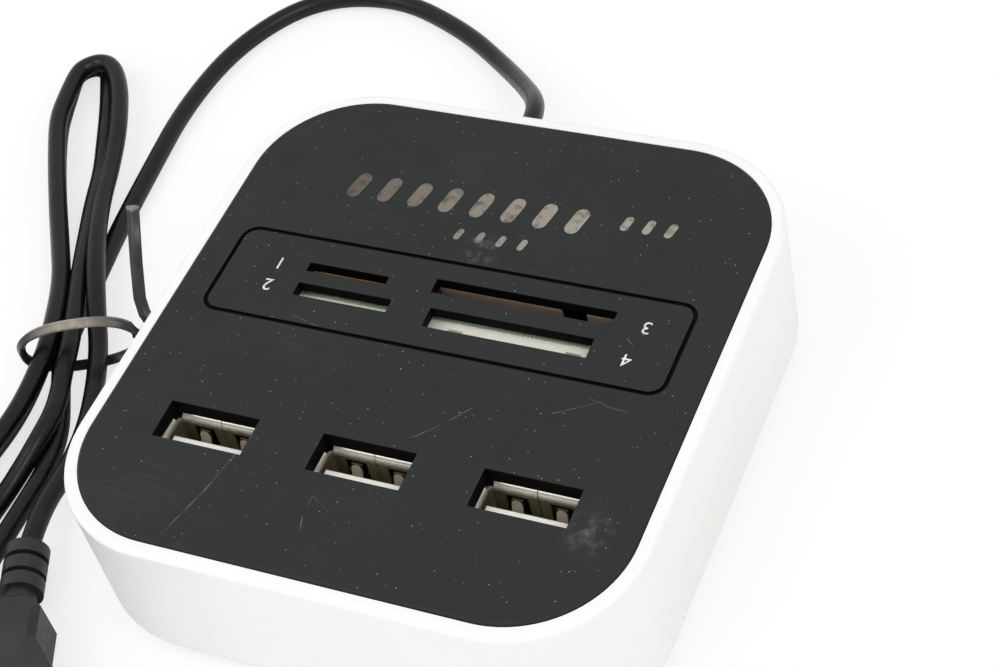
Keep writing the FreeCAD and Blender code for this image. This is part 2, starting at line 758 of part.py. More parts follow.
def make_port_insulator(name, port_x):
    """Pale moulding in the shell: a base with contact slots, and the tongue."""
    body = new_body(f"{name}_port_insulator", port_x, "sizes.port_y", BOARD_TOP)
    base = sketch_on(body, "XY_Plane")
    room = "2 * sizes.insulator_gap"
    add_rounded(
        base, f"(sizes.port_inner_width - {room})", f"(sizes.port_inner_depth - {room})",
        "(sizes.port_corner - sizes.sheet_thick)")
    pad(body, base, "sizes.insulator_base")
    slots = sketch_on(body, "XY_Plane", off="sizes.insulator_base")
    gap = "2 * sizes.contact_slot_gap"
    for contact_x in CONTACT_PLACES:
        add_centred(
            slots, f"(sizes.contact_width + {gap})", f"(sizes.contact_thick + {gap})", contact_x, CONTACT_Y)
    pocket(body, slots, "sizes.insulator_base")
    tongue = sketch_on(body, "XY_Plane", off="sizes.insulator_base")
    half = "sizes.tongue_width / 2"
    far = "(sizes.tongue_far - sizes.contact_slot_gap)"
    add_rectangle(tongue, f"-{half}", half, f"{far} - sizes.tongue_thick", far)
    blade = pad(body, tongue, "sizes.tongue_tip - sizes.insulator_base")
    chamfer(body, edges_at_height(blade, "sizes.tongue_tip"), "sizes.tongue_bevel")
    keep(body, f"{name}_port_insulator")


def make_port_contacts(name, port_x):
    """Four bowed contact strips, from their pins under the board to the tongue's tip."""
    body = new_body(f"{name}_port_contacts", port_x, "sizes.port_y", BOARD_TOP)
    near = "sizes.tongue_far"
    far = "(sizes.tongue_far + sizes.contact_thick)"
    bow = "sizes.contact_bow"
    middle = "(sizes.insulator_base + sizes.contact_tip) / 2"
    for contact_x in CONTACT_PLACES:
        strip = sketch_on(body, "YZ_Plane", off=contact_x)
        add_loop(strip, [
            (near, "-sizes.leg_length"),
            (far, "-sizes.leg_length"),
            (far, "sizes.insulator_base"),
            (f"{far} + {bow}", middle),
            (far, "sizes.contact_tip"),
            (near, "sizes.contact_tip"),
            (f"{near} + {bow}", middle),
            (near, "sizes.insulator_base"),
        ])
        pad(body, strip, "sizes.contact_width", both_ways=True)
    keep(body, f"{name}_port_contacts")


# Each card socket: its side of the reader board, the face that its card slides on, and its number of contacts
SOCKETS = {
    "wide": ("far", "sizes.wide_slot_near", 9),
    "stick": ("near", "sizes.stick_floor_near", 10),
    "small": ("far", "sizes.small_slot_near", 8),
    "short": ("near", "sizes.short_floor_near", 11),
}


def socket_levels(slot):
    """Board face, card floor, mouth face, top and outward sign of a card socket."""
    side, floor, _ = SOCKETS[slot]
    mouth = f"sizes.{slot}_slot_{side}"
    top = f"(sizes.case_height - sizes.{side}_socket_drop)"
    if side == "far":
        return READER_FAR, floor, mouth, top, 1
    return "sizes.reader_near", floor, mouth, top, -1


def make_socket_frame(slot):
    """Plastic frame on the reader board: floor, two rails and the stop that ends the card's travel."""
    board, floor, mouth, top, _ = socket_levels(slot)
    body = new_body(f"{slot}_card_frame", f"sizes.{slot}_slot_x")
    half = f"sizes.{slot}_slot_width / 2"
    outer = f"({half} + sizes.socket_rail)"
    channel = sketch_on(body, "XY_Plane", off="sizes.socket_bottom")
    add_loop(channel, [
        (f"-{outer}", board), (outer, board), (outer, mouth), (half, mouth),
        (half, floor), (f"-{half}", floor), (f"-{half}", mouth), (f"-{outer}", mouth),
    ])
    pad(body, channel, f"{top} - sizes.socket_bottom")
    stop = sketch_on(body, "XY_Plane", off="sizes.socket_bottom")
    add_rectangle(stop, f"-{outer}", outer, board, mouth)
    pad(body, stop, "sizes.socket_stop", reverse=True)
    if slot == "stick":
        notches = sketch_on(body, "XY_Plane", off=top)
        for left in ("sizes.notch_left", "sizes.notch_right"):
            middle = f"({left} + sizes.notch_width / 2)"
            add_centred(notches, "sizes.notch_width", "2 * sizes.notch_depth", middle, floor)
        pocket(body, notches, "sizes.notch_height")
    keep(body, f"{slot}_card_frame")


def make_socket_cover(slot):
    """Folded metal cover that closes the frame and grips its rails."""
    _, _, mouth, top, sign = socket_levels(slot)
    body = new_body(f"{slot}_card_cover", f"sizes.{slot}_slot_x")
    inner = f"(sizes.{slot}_slot_width / 2 + sizes.socket_rail)"
    outer = f"({inner} + sizes.cover_thick)"
    back = f"({mouth} + ({sign}) * sizes.cover_thick)"
    flange = f"({mouth} - ({sign}) * sizes.cover_flange)"
    fold = sketch_on(body, "XY_Plane", off="sizes.socket_bottom - sizes.socket_stop")
    add_loop(fold, [
        (f"-{outer}", back), (outer, back), (outer, flange), (inner, flange),
        (inner, mouth), (f"-{inner}", mouth), (f"-{inner}", flange), (f"-{outer}", flange),
    ])
    pad(body, fold, f"{top} - sizes.socket_bottom + sizes.socket_stop")
    if slot == "wide":
        gap = sketch_on(body, "XZ_Plane", off=f"-{back}")
        middle = "sizes.cover_gap_x"
        half = "sizes.cover_gap_width / 2"
        add_rectangle(gap, f"{middle} - {half}", f"{middle} + {half}", f"{top} - sizes.cover_gap_height", top)
        pocket(body, gap, "sizes.cover_thick", reverse=True)
    keep(body, f"{slot}_card_cover")


def make_socket_contacts(slot):
    """Row of contact strips on the frame's floor."""
    _, floor, _, _, sign = socket_levels(slot)
    count = SOCKETS[slot][2]
    body = new_body(f"{slot}_card_contacts", f"sizes.{slot}_slot_x")
    strips = sketch_on(body, "XY_Plane", off="sizes.socket_bottom")
    middle_y = f"({floor} + ({sign}) * sizes.card_contact_thick / 2)"
    for index in range(count):
        place = f"({2 * index + 1 - count}) * sizes.{slot}_slot_width / {2 * count}"
        add_centred(strips, "sizes.card_contact_width", "sizes.card_contact_thick", place, middle_y)
    pad(body, strips, "sizes.card_contact_length")
    keep(body, f"{slot}_card_contacts")


LEADS_PER_SIDE = 14


def make_chip(label):
    """Chip with a row of bent leads on each long side."""
    body = new_body(label, f"sizes.{label}_x", f"sizes.{label}_y", BOARD_TOP)
    case = sketch_on(body, "XY_Plane", off="sizes.chip_standoff")
    add_centred(case, "sizes.chip_length", "sizes.chip_width")
    block = pad(body, case, "sizes.chip_height - sizes.chip_standoff")
    chamfer(body, edges_at_height(block, "sizes.chip_height"), "sizes.chip_bevel")

    row_length = f"{LEADS_PER_SIDE - 1} * sizes.lead_pitch"
    lead = sketch_on(body, "YZ_Plane", off=f"-{row_length} / 2")
    tip = "sizes.lead_span / 2"
    heel = f"({tip} - sizes.lead_foot)"
    thick = "sizes.lead_thick"
    mid = "sizes.chip_height / 2"
    right = [
        (tip, "0"), (tip, thick), (f"({heel} + {thick})", thick), (f"({heel} + {thick})", f"{mid} + {thick}"),
    ]
    under = [(heel, "0"), (heel, mid)]
    left_top = [(f"-{x}", y) for x, y in reversed(right)]
    left_under = [(f"-{x}", y) for x, y in under]
    add_loop(lead, right + left_top + left_under + list(reversed(under)))
    pair = pad(body, lead, "sizes.lead_width", both_ways=True)
    pattern(body, pair, "X_Axis", row_length, LEADS_PER_SIDE)
    keep(body, label)


def make_crystal(label):
    """Crystal in a low oval can on a flanged base."""
    body = new_body(label, f"sizes.{label}_x", f"sizes.{label}_y", BOARD_TOP)
    flange = "2 * sizes.crystal_flange"
    end_round = "(sizes.crystal_width * sizes.crystal_end_share)"
    base = sketch_on(body, "XY_Plane")
    add_rounded(
        base, f"(sizes.crystal_length + {flange})", f"(sizes.crystal_width + {flange})",
        f"({end_round} + sizes.crystal_flange)")
    pad(body, base, "sizes.crystal_base")
    can = sketch_on(body, "XY_Plane")
    add_rounded(can, "sizes.crystal_length", "sizes.crystal_width", end_round)
    pad(body, can, "sizes.crystal_height")
    keep(body, label)


def make_capacitor():
    """Round capacitor with a crimped waist near its foot."""
    body = new_body("supply_capacitor", "sizes.capacitor_x", "sizes.capacitor_y", BOARD_TOP)
    profile = sketch_on(body, "XZ_Plane")
    radius = "sizes.capacitor_radius"
    waist = f"({radius} - sizes.capacitor_crimp)"
    step = "sizes.capacitor_crimp"
    add_loop(profile, [
        ("0", "0"), (radius, "0"), (radius, f"2 * {step}"), (waist, f"3 * {step}"), (radius, f"4 * {step}"),
        (radius, f"sizes.capacitor_height - {step}"), (waist, "sizes.capacitor_height"),
        ("0", "sizes.capacitor_height"),
    ])
    revolve(body, profile)
    keep(body, "supply_capacitor")


def make_gland():
    """Rubber gland in the back wall, gripped between its two flanges, with a short tapered end."""
    body = new_body("cable_gland", "sizes.gland_x", f"{CASE_LENGTH} / 2", "sizes.gland_z")
    profile = sketch_on(body, "XY_Plane")
    collar = "sizes.gland_collar_radius"
    waist = "(sizes.gland_hole_radius - sizes.fit_gap)"
    add_loop(profile, [
        ("0", "-sizes.case_wall - sizes.gland_inner_thick"),
        (collar, "-sizes.case_wall - sizes.gland_inner_thick"),
        (collar, "-sizes.case_wall"),
        (waist, "-sizes.case_wall"),
        (waist, "0"),
        (collar, "0"),
        (collar, "sizes.gland_collar_thick"),
        (waist, "sizes.gland_collar_thick"),
        ("sizes.gland_end_radius", "sizes.gland_length"),
        ("0", "sizes.gland_length"),
    ])
    revolve(body, profile)
    keep(body, "cable_gland")


def tube(points, diameter):
    """Round tube along straight runs joined by tangent arcs, and the arcs' radii."""
    places = [Vector(*point) for point in points]
    edges = []
    radii = []
    start = places[0]
    for before, corner, after in zip(places, places[1:], places[2:]):
        into = (corner - before).normalize()
        out = (after - corner).normalize()
        half_turn = into.getAngle(out) / 2
        setback = ARC_SHARE * min((corner - before).Length, (after - corner).Length)
        radius = setback / math.tan(half_turn)
        inward = (out - into).normalize()
        arc_start = corner - into * setback
        arc_end = corner + out * setback
        arc_middle = corner + inward * (radius / math.cos(half_turn) - radius)
        edges.append(Part.LineSegment(start, arc_start).toShape())
        edges.append(Part.Arc(arc_start, arc_middle, arc_end).toShape())
        radii.append(radius)
        start = arc_end
    edges.append(Part.LineSegment(start, places[-1]).toShape())
    path = Part.Wire(edges)
    section = Part.Circle(places[0], places[1] - places[0], diameter / 2).toShape()
    solid = path.makePipeShell([Part.Wire([section])], True, False)
    expected = math.pi * diameter ** 2 / 4 * path.Length
    if abs(solid.Volume - expected) > 0.01 * expected:
        raise RuntimeError("the tube's volume isn't its section times its length")
    return solid, radii


def make_feature(label, shape):
    """Piece whose shape is worked out here."""
    feature = doc.addObject("Part::Feature", label)
    feature.Shape = shape
    return keep(feature, label)


def make_wires():
    """Four wires from the gland's inner end, bent down to the main board."""
    diameter = number("sizes.wire_diameter")
    start_y = number(f"{CASE_LENGTH} / 2 - sizes.case_wall - sizes.gland_inner_thick")
    start_z = number("sizes.gland_z - sizes.wire_start_drop")
    low = number(BOARD_TOP)
    wires = []
    for index in range(4):
        x = number(f"sizes.gland_x + ({index} - 1.5) * sizes.wire_pitch")
        corner_y = start_y - number("sizes.wire_run")
        wires.append(tube([(x, start_y, start_z), (x, corner_y, start_z), (x, corner_y, low)], diameter)[0])
    make_feature("cable_wires", Part.makeCompound(wires))


def teardrop(first, first_radius, second, second_radius):
    """Flat face round two circles and the straight edges that touch both."""
    start, end = Vector(*first, 0), Vector(*second, 0)
    along = end - start
    base_angle = math.atan2(along.y, along.x)
    lean = math.acos((first_radius - second_radius) / along.Length)

    def on_circle(centre, radius, angle):
        return centre + Vector(math.cos(angle), math.sin(angle), 0) * radius

    left, right = base_angle + lean, base_angle - lean
    edges = [
        Part.LineSegment(on_circle(start, first_radius, right), on_circle(end, second_radius, right)),
        Part.Arc(
            on_circle(end, second_radius, right), on_circle(end, second_radius, base_angle),
            on_circle(end, second_radius, left)),
        Part.LineSegment(on_circle(end, second_radius, left), on_circle(start, first_radius, left)),
        Part.Arc(
            on_circle(start, first_radius, left), on_circle(start, first_radius, base_angle + math.pi),
            on_circle(start, first_radius, right)),
    ]
    return Part.Face(Part.Wire([edge.toShape() for edge in edges]))


def make_hank():
    """Outer shape of the tied hank: two long loops with open eyes, and room for the tie below."""
    height = Vector(0, 0, number("sizes.hank_height"))
    loops = [
        teardrop(HANK_BACK, HANK_RADIUS["back"], HANK_WAIST, HANK_RADIUS["waist"]).extrude(height),
        teardrop(HANK_FRONT, HANK_RADIUS["front"], HANK_WAIST, HANK_RADIUS["waist"]).extrude(height),
    ]
    body = loops[0].fuse(loops[1]).removeSplitter()
    for end in ("back", "front"):
        body = body.cut(teardrop(*HANK_EYE[end]).extrude(height))
    depth = number("sizes.tie_strip_width + 2 * sizes.tie_gap")
    wide = number("sizes.tie_width")
    high = number("sizes.tie_channel_height")
    channel = Part.makeBox(wide, depth, high, Vector(-wide / 2, -depth / 2, 0))
    tie_place = Vector(number("sizes.tie_x"), number("sizes.tie_y"), 0)
    turned = Placement(tie_place, Rotation(Vector(0, 0, 1), number("sizes.tie_turn")))
    channel.Placement = turned * channel.Placement
    return body.cut(channel)


def turn_about_z(body, angle):
    """Turns a body about its own upright axis."""
    body.Placement.Rotation = Rotation(Vector(0, 0, 1), 1)
    body.setExpression("Placement.Rotation.Angle", f"{angle} * 1 deg")
    return body


def make_tie():
    """Twist tie: a loose upright band round the hank's waist, and its twisted tail beside it."""
    middle = "(sizes.tie_height + sizes.tie_thick) / 2"
    band = turn_about_z(new_body("tie_band", "sizes.tie_x", "sizes.tie_y", middle), "sizes.tie_turn")
    outline = sketch_on(band, "XZ_Plane")
    for way in ("+", "-"):
        add_rounded(
            outline, f"(sizes.tie_width {way} sizes.tie_thick)", f"(sizes.tie_height {way} sizes.tie_thick)",
            f"(sizes.tie_round {way} sizes.tie_thick / 2)")
    pad(band, outline, "sizes.tie_strip_width", both_ways=True)
    foot = band.Placement.multVec(Vector(number("sizes.tie_width / 2"), 0, 0))
    tail = doc.addObject("Part::Feature", "tie_tail")
    tail.Shape, _ = tube([tuple(foot)] + TIE_TAIL, number("sizes.tie_tail_diameter"))
    tie = doc.addObject("Part::Fuse", "twist_tie")
    tie.Base = band
    tie.Tool = tail
    keep(tie, "twist_tie")


def make_cord():
    """The cord's free stretches and its hank, which meet face to face."""
    diameter = number("sizes.cord_diameter")
    hank = make_hank()
    for label, route in (("cord_lead", CORD_LEAD), ("cord_tail", CORD_TAIL)):
        solid, radii = tube(route, diameter)
        print(label, "radii", " ".join(f"{radius:.1f}" for radius in radii))
        make_feature(label, solid.cut(hank))
    make_feature("cord_hank", hank)


def plug_body(label):
    """Body on the plug's axis, which points away from the cord along its own -Y."""
    body = new_body(label, "sizes.plug_x", "sizes.plug_y", "sizes.plug_thick / 2")
    return turn_about_z(body, "sizes.plug_turn")


RELIEF_RIBS = 3


def make_plug_overmould():
    """Moulded grip with flared shoulders, and its ribbed strain relief."""
    body = plug_body("plug_overmould")
    half_rear = "sizes.plug_rear_width / 2"
    half_front = "sizes.plug_width / 2"
    neck = "sizes.relief_neck_radius"
    grip = sketch_on(body, "XY_Plane")
    right = [
        (neck, "-sizes.relief_length"),
        (half_rear, "-sizes.relief_length - sizes.plug_shoulder"),
        (half_rear, f"-{PLUG_BACK}"),
        (half_front, f"-{PLUG_BACK} - sizes.plug_flare_length"),
        (half_front, f"-{PLUG_FACE}"),
    ]
    add_loop(grip, right + [(f"-{x}", y) for x, y in reversed(right)])
    block = pad(body, grip, "sizes.plug_thick", both_ways=True)
    half = number("sizes.plug_thick / 2")
    rims = edges_where(block, lambda box: box.ZLength < 1e-4 and abs(abs(box.ZMin) - half) < 1e-4)
    chamfer(body, rims, "sizes.plug_bevel")

    profile = sketch_on(body, "XY_Plane")
    rib = "sizes.relief_rib_radius"
    outline = [("0", "0")]
    for index in range(RELIEF_RIBS):
        start = f"-{index} * sizes.relief_rib_pitch"
        end = f"-{index} * sizes.relief_rib_pitch - sizes.relief_rib_length"
        outline += [(rib, start), (rib, end), (neck, end)]
        if index < RELIEF_RIBS - 1:
            outline.append((neck, f"-{index + 1} * sizes.relief_rib_pitch"))
    buried = "-sizes.relief_length - sizes.plug_shoulder"
    outline += [(neck, buried), ("0", buried)]
    add_loop(profile, outline)
    revolve(body, profile)
    keep(body, "plug_overmould")


def make_plug_shell():
    """Folded steel shell of the plug, with two latch holes in each wide side."""
    body = plug_body("plug_shell")
    section = sketch_on(body, "XZ_Plane", off=PLUG_FACE)
    sheet_twice = "2 * sizes.sheet_thick"
    add_rounded(section, "sizes.plug_shell_width", "sizes.plug_shell_thick", "sizes.plug_shell_corner")
    add_rounded(
        section, f"(sizes.plug_shell_width - {sheet_twice})", f"(sizes.plug_shell_thick - {sheet_twice})",
        "(sizes.plug_shell_corner - sizes.sheet_thick)")
    pad(body, section, "sizes.plug_shell_length")
    holes = sketch_on(body, "XY_Plane", off="sizes.plug_shell_thick / 2")
    for side in (-1, 1):
        add_centred(
            holes, "sizes.plug_hole", "sizes.plug_hole", f"({side}) * sizes.plug_hole_spacing / 2",
            f"(-{PLUG_FACE} - sizes.plug_shell_length + sizes.plug_hole_back)")
    pocket(body, holes, "sizes.plug_shell_thick")
    keep(body, "plug_shell")


PLUG_FLOOR = "(sizes.sheet_thick - sizes.plug_shell_thick / 2)"


def make_plug_insulator():
    """Pale block that fills one half of the plug's shell."""
    body = plug_body("plug_insulator")
    section = sketch_on(body, "XZ_Plane", off=PLUG_FACE)
    half = "(sizes.plug_shell_width / 2 - sizes.plug_shell_corner)"
    add_rectangle(section, f"-{half}", half, PLUG_FLOOR, f"{PLUG_FLOOR} + sizes.plug_block_thick")
    pad(body, section, "sizes.plug_shell_length - sizes.plug_block_recess")
    keep(body, "plug_insulator")


def make_plug_contacts():
    """Four flat contacts on the plug's block."""
    body = plug_body("plug_contacts")
    block_end = f"{PLUG_FACE} + sizes.plug_shell_length - sizes.plug_block_recess"
    strips = sketch_on(body, "XZ_Plane", off=block_end)
    for contact_x in CONTACT_PLACES:
        middle = f"({PLUG_FLOOR} + sizes.plug_block_thick + sizes.contact_thick / 2)"
        add_centred(strips, "sizes.contact_width", "sizes.contact_thick", contact_x, middle)
    pad(body, strips, "sizes.plug_contact_length", reverse=True)
    keep(body, "plug_contacts")


make_case_shell()
make_top_plate()
make_feet()
make_case_screws()
make_main_board()
make_reader_board()
for port_name, port_place in port_places():
    make_port_shell(port_name, port_place)
    make_port_insulator(port_name, port_place)
    make_port_contacts(port_name, port_place)
for slot_name in SLOTS:
    make_socket_frame(slot_name)
    make_socket_cover(slot_name)
    make_socket_contacts(slot_name)
for chip_name in ("hub_chip", "reader_chip"):
    make_chip(chip_name)
for crystal_name in ("hub_crystal", "reader_crystal"):
    make_crystal(crystal_name)
make_capacitor()
make_gland()
make_wires()
make_cord()
make_tie()
make_plug_overmould()
make_plug_shell()
make_plug_insulator()
make_plug_contacts()
doc.recompute()

failed = [thing.Name for thing in doc.Objects if {"Invalid", "Error"} & set(thing.State)]
failed += [piece.Label for piece in nodes if piece.Shape.isNull() or not piece.Shape.isValid()]
if failed:
    raise RuntimeError("not built: " + ", ".join(failed))
os.makedirs("parts", exist_ok=True)
for piece in nodes:
    piece.Shape.exportStep(f"parts/{piece.Label}.step")
    print(f"{piece.Label:24s} solids {len(piece.Shape.Solids):2d}  volume {piece.Shape.Volume:10.2f}")
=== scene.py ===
import math

import bpy
from mathutils import Matrix, Vector


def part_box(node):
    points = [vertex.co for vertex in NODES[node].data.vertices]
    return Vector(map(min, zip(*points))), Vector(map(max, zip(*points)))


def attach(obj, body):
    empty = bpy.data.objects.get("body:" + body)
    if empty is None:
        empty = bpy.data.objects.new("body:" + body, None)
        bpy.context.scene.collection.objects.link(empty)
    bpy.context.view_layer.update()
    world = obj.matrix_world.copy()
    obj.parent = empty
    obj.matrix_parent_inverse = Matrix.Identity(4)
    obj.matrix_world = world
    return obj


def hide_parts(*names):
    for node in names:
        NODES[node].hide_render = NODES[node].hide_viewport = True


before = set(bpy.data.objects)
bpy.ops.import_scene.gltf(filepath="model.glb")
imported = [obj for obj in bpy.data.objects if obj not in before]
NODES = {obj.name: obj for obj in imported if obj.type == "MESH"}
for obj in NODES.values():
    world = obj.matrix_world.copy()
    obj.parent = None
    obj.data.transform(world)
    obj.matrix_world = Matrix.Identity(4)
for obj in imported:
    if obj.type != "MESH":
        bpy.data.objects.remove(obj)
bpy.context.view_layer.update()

# Sizes shared by several pieces, in metres
CORD_DIAMETER = 0.0028
CORD_EXIT = (-0.0080, 0.0436, 0.0110)
PLATE_TOP = 0.0230
PRINT_LIFT = 0.00002

# First parts of the names of the pieces in each upright socket and each card socket
PORTS = ("left_port_", "middle_port_", "right_port_")
CARDS = ("wide_card_", "stick_card_", "small_card_", "short_card_")

# Camera: where it stands, the point on the plate it looks at, its roll, its lens and sensor in millimetres,
# and the nearest distance it sees
CAMERA_PLACE = Vector((0.11290, -0.15433, 0.22642))
CAMERA_AIM = Vector((0.00890, 0.00233, PLATE_TOP))
CAMERA_ROLL = math.radians(-15.12)
CAMERA_LENS = 80.56
CAMERA_SENSOR = 36.0
CAMERA_NEAREST = 0.01

# Light: the strength of the white world, and the place, width and power of each round lamp
WORLD_STRENGTH = 0.78
LAMPS = {
    "key": ((-0.30, -0.34, 0.64), 0.60, 1.7),
    "fill": ((0.42, -0.16, 0.60), 0.45, 1.3),
}

# Floor: half its side, and the share of plain white in what the camera sees of it
FLOOR_HALF = 1.5
FLOOR_GLOW = 0.7


def add_object(name, data):
    made = bpy.data.objects.new(name, data)
    bpy.context.scene.collection.objects.link(made)
    return made


def add_piece(name, mesh, finish):
    """A visual piece that rides on the body, with its place in its mesh."""
    mesh.materials.clear()
    mesh.materials.append(finish)
    piece = add_object(name, mesh)
    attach(piece, "root")
    return piece


def add_camera():
    data = bpy.data.cameras.new("camera")
    data.lens = CAMERA_LENS
    data.sensor_width = CAMERA_SENSOR
    data.clip_start = CAMERA_NEAREST
    camera = add_object("camera", data)
    look = (CAMERA_AIM - CAMERA_PLACE).to_track_quat("-Z", "Y").to_matrix().to_4x4()
    camera.matrix_world = Matrix.Translation(CAMERA_PLACE) @ look @ Matrix.Rotation(CAMERA_ROLL, 4, "Z")
    bpy.context.scene.camera = camera


def grey(level):
    return (level, level, level)


# The colour mix node has sockets of one name for several kinds of data: these are the ones for colours
MIX_FACTOR = 0
MIX_COLOURS = (6, 7)
MIX_RESULT = 2

# Where most of a noise's values lie
NOISE_RANGE = (0.3, 0.7)

# The share of a speck's radius and of a scratch's width that is full, before the soft rim
SPECK_CORE = 0.4
SCRATCH_CORE = 0.3

# Hairlines: the noise's stretch, how near its middle a line is drawn, and the scale and soft rim of the
# patches that are left of them
HAIRLINE_STRETCH = (70, 2600, 70)
HAIRLINE_WIDTH = 0.012
HAIRLINE_PATCHES = 55
HAIRLINE_FADE = 0.05


class Finish:
    """A procedural material: short calls that add nodes in front of its Principled shader."""

    def __init__(self, name, colour, roughness, metallic=0.0, specular=0.5):
        self.material = bpy.data.materials.new(name)
        self.material.use_nodes = True
        self.tree = self.material.node_tree
        self.shader = self.tree.nodes["Principled BSDF"]
        self.shader.inputs["Base Color"].default_value = (*colour, 1)
        self.shader.inputs["Roughness"].default_value = roughness
        self.shader.inputs["Metallic"].default_value = metallic
        self.shader.inputs["Specular IOR Level"].default_value = specular
        self.place = self.node("ShaderNodeTexCoord").outputs["Object"]

    def node(self, kind, **settings):
        made = self.tree.nodes.new(kind)
        for key, value in settings.items():
            setattr(made, key, value)
        return made

    def feed(self, node, socket, value):
        """Links an output to a socket, or sets the socket where the value is a plain one."""
        if isinstance(value, bpy.types.NodeSocket):
            self.tree.links.new(value, node.inputs[socket])
        else:
            node.inputs[socket].default_value = value

    def axis(self, letter):
        split = self.node("ShaderNodeSeparateXYZ")
        self.feed(split, "Vector", self.place)
        return split.outputs[letter]

    def maths(self, operation, first, second=0.0):
        made = self.node("ShaderNodeMath", operation=operation)
        self.feed(made, 0, first)
        self.feed(made, 1, second)
        return made.outputs["Value"]

    def vector(self, operation, first, second, output="Vector"):
        made = self.node("ShaderNodeVectorMath", operation=operation)
        self.feed(made, 0, first)
        self.feed(made, 1, second)
        return made.outputs[output]

    def span(self, value, low, high, to_low=0.0, to_high=1.0):
        """Maps low..high to to_low..to_high, clamped at both ends."""
        made = self.node("ShaderNodeMapRange", clamp=True)
        numbers = {"From Min": low, "From Max": high, "To Min": to_low, "To Max": to_high}
        for socket, number in numbers.items():
            self.feed(made, socket, number)
        self.feed(made, "Value", value)
        return made.outputs["Result"]

    def noise(self, scale, detail=3.0, stretch=(1, 1, 1), turn=0.0):
        turned = self.node("ShaderNodeMapping")
        self.feed(turned, "Vector", self.place)
        self.feed(turned, "Scale", stretch)
        self.feed(turned, "Rotation", (0, 0, turn))
        made = self.node("ShaderNodeTexNoise")
        self.feed(made, "Vector", turned.outputs["Vector"])
        self.feed(made, "Scale", scale)
        self.feed(made, "Detail", detail)
        return made.outputs["Fac"]

    def patches(self, scale, low, high, detail=3.0, least=0.0, most=1.0):
        """Soft patches: the least where the noise is under low, the most where it is over high."""
        return self.span(self.noise(scale, detail), low, high, least, most)

    def specks(self, scale, size, share):
        """Small dots, one at most in each cell, in that share of the cells."""
        cells = self.node("ShaderNodeTexVoronoi")
        self.feed(cells, "Vector", self.place)
        self.feed(cells, "Scale", scale)
        split = self.node("ShaderNodeSeparateColor")
        self.feed(split, "Color", cells.outputs["Color"])
        dot = self.span(cells.outputs["Distance"], size, size * SPECK_CORE)
        return self.maths("MULTIPLY", dot, self.maths("LESS_THAN", split.outputs["Red"], share))

    def hairlines(self, turn, amount):
        """Long fine lines across one direction, broken up by a coarse noise: a larger amount leaves more."""
        lines = self.noise(1.0, 1.0, HAIRLINE_STRETCH, turn)
        from_middle = self.maths("ABSOLUTE", self.maths("SUBTRACT", lines, 0.5))
        line = self.span(from_middle, HAIRLINE_WIDTH, 0.0)
        kept = self.patches(HAIRLINE_PATCHES, 1.0 - amount, 1.0 + HAIRLINE_FADE - amount, detail=2.0)
        return self.maths("MULTIPLY", line, kept)

    def scratch(self, start, end, width):
        """One straight line between two points of the surface."""
        along = Vector(end) - Vector(start)
        from_start = self.vector("SUBTRACT", self.place, start)
        reach = self.vector("DOT_PRODUCT", from_start, along / along.length_squared, "Value")
        foot = self.node("ShaderNodeVectorMath", operation="SCALE")
        self.feed(foot, 0, tuple(along))
        self.feed(foot, "Scale", self.span(reach, 0.0, 1.0))
        distance = self.vector("DISTANCE", from_start, foot.outputs["Vector"], "Value")
        return self.span(distance, width, width * SCRATCH_CORE)

    def mix(self, factor, first, second):
        made = self.node("ShaderNodeMix", data_type="RGBA")
        self.feed(made, MIX_FACTOR, factor)
        for socket, colour in zip(MIX_COLOURS, (first, second)):
            self.feed(made, socket, colour if isinstance(colour, bpy.types.NodeSocket) else (*colour, 1))
        return made.outputs[MIX_RESULT]

    def colour(self, value):
        self.feed(self.shader, "Base Color", value)

    def rough(self, low, high, scale, stretch=(1, 1, 1)):
        uneven = self.span(self.noise(scale, 3.0, stretch), *NOISE_RANGE, low, high)
        self.feed(self.shader, "Roughness", uneven)

    def bump(self, height, depth):
        made = self.node("ShaderNodeBump")
        self.feed(made, "Height", height)
        self.feed(made, "Distance", depth)
        self.feed(self.shader, "Normal", made.outputs["Normal"])


# Moulded finishes: two tones, the scale of their patches, the roughness from and to, and the scale and depth
# of the grain
MOULDED = {
    "foot_rubber": (grey(0.020), (0.032, 0.032, 0.031), 500, (0.65, 0.8), 3000, 0.00003),
    "gland_rubber": (grey(0.014), (0.026, 0.026, 0.025), 600, (0.55, 0.7), 2500, 0.00001),
    "plug_grip": ((0.010, 0.010, 0.011), (0.018, 0.018, 0.019), 300, (0.38, 0.5), 3800, 0.000015),
    "socket_pale": ((0.98, 0.97, 0.88), (0.95, 0.93, 0.80), 700, (0.4, 0.55), 2500, 0.00001),
    "socket_black": (grey(0.012), grey(0.022), 700, (0.45, 0.6), 2500, 0.00001),
    "connector_insulator": ((0.92, 0.91, 0.86), (0.86, 0.84, 0.77), 900, (0.35, 0.5), 2500, 0.00001),
    "print_ink": ((0.78, 0.78, 0.76), (0.55, 0.55, 0.54), 1800, (0.5, 0.6), 2500, 0.00001),
    "dust": ((0.55, 0.54, 0.51), (0.32, 0.31, 0.30), 4000, (0.8, 0.95), 2500, 0.00001),
}
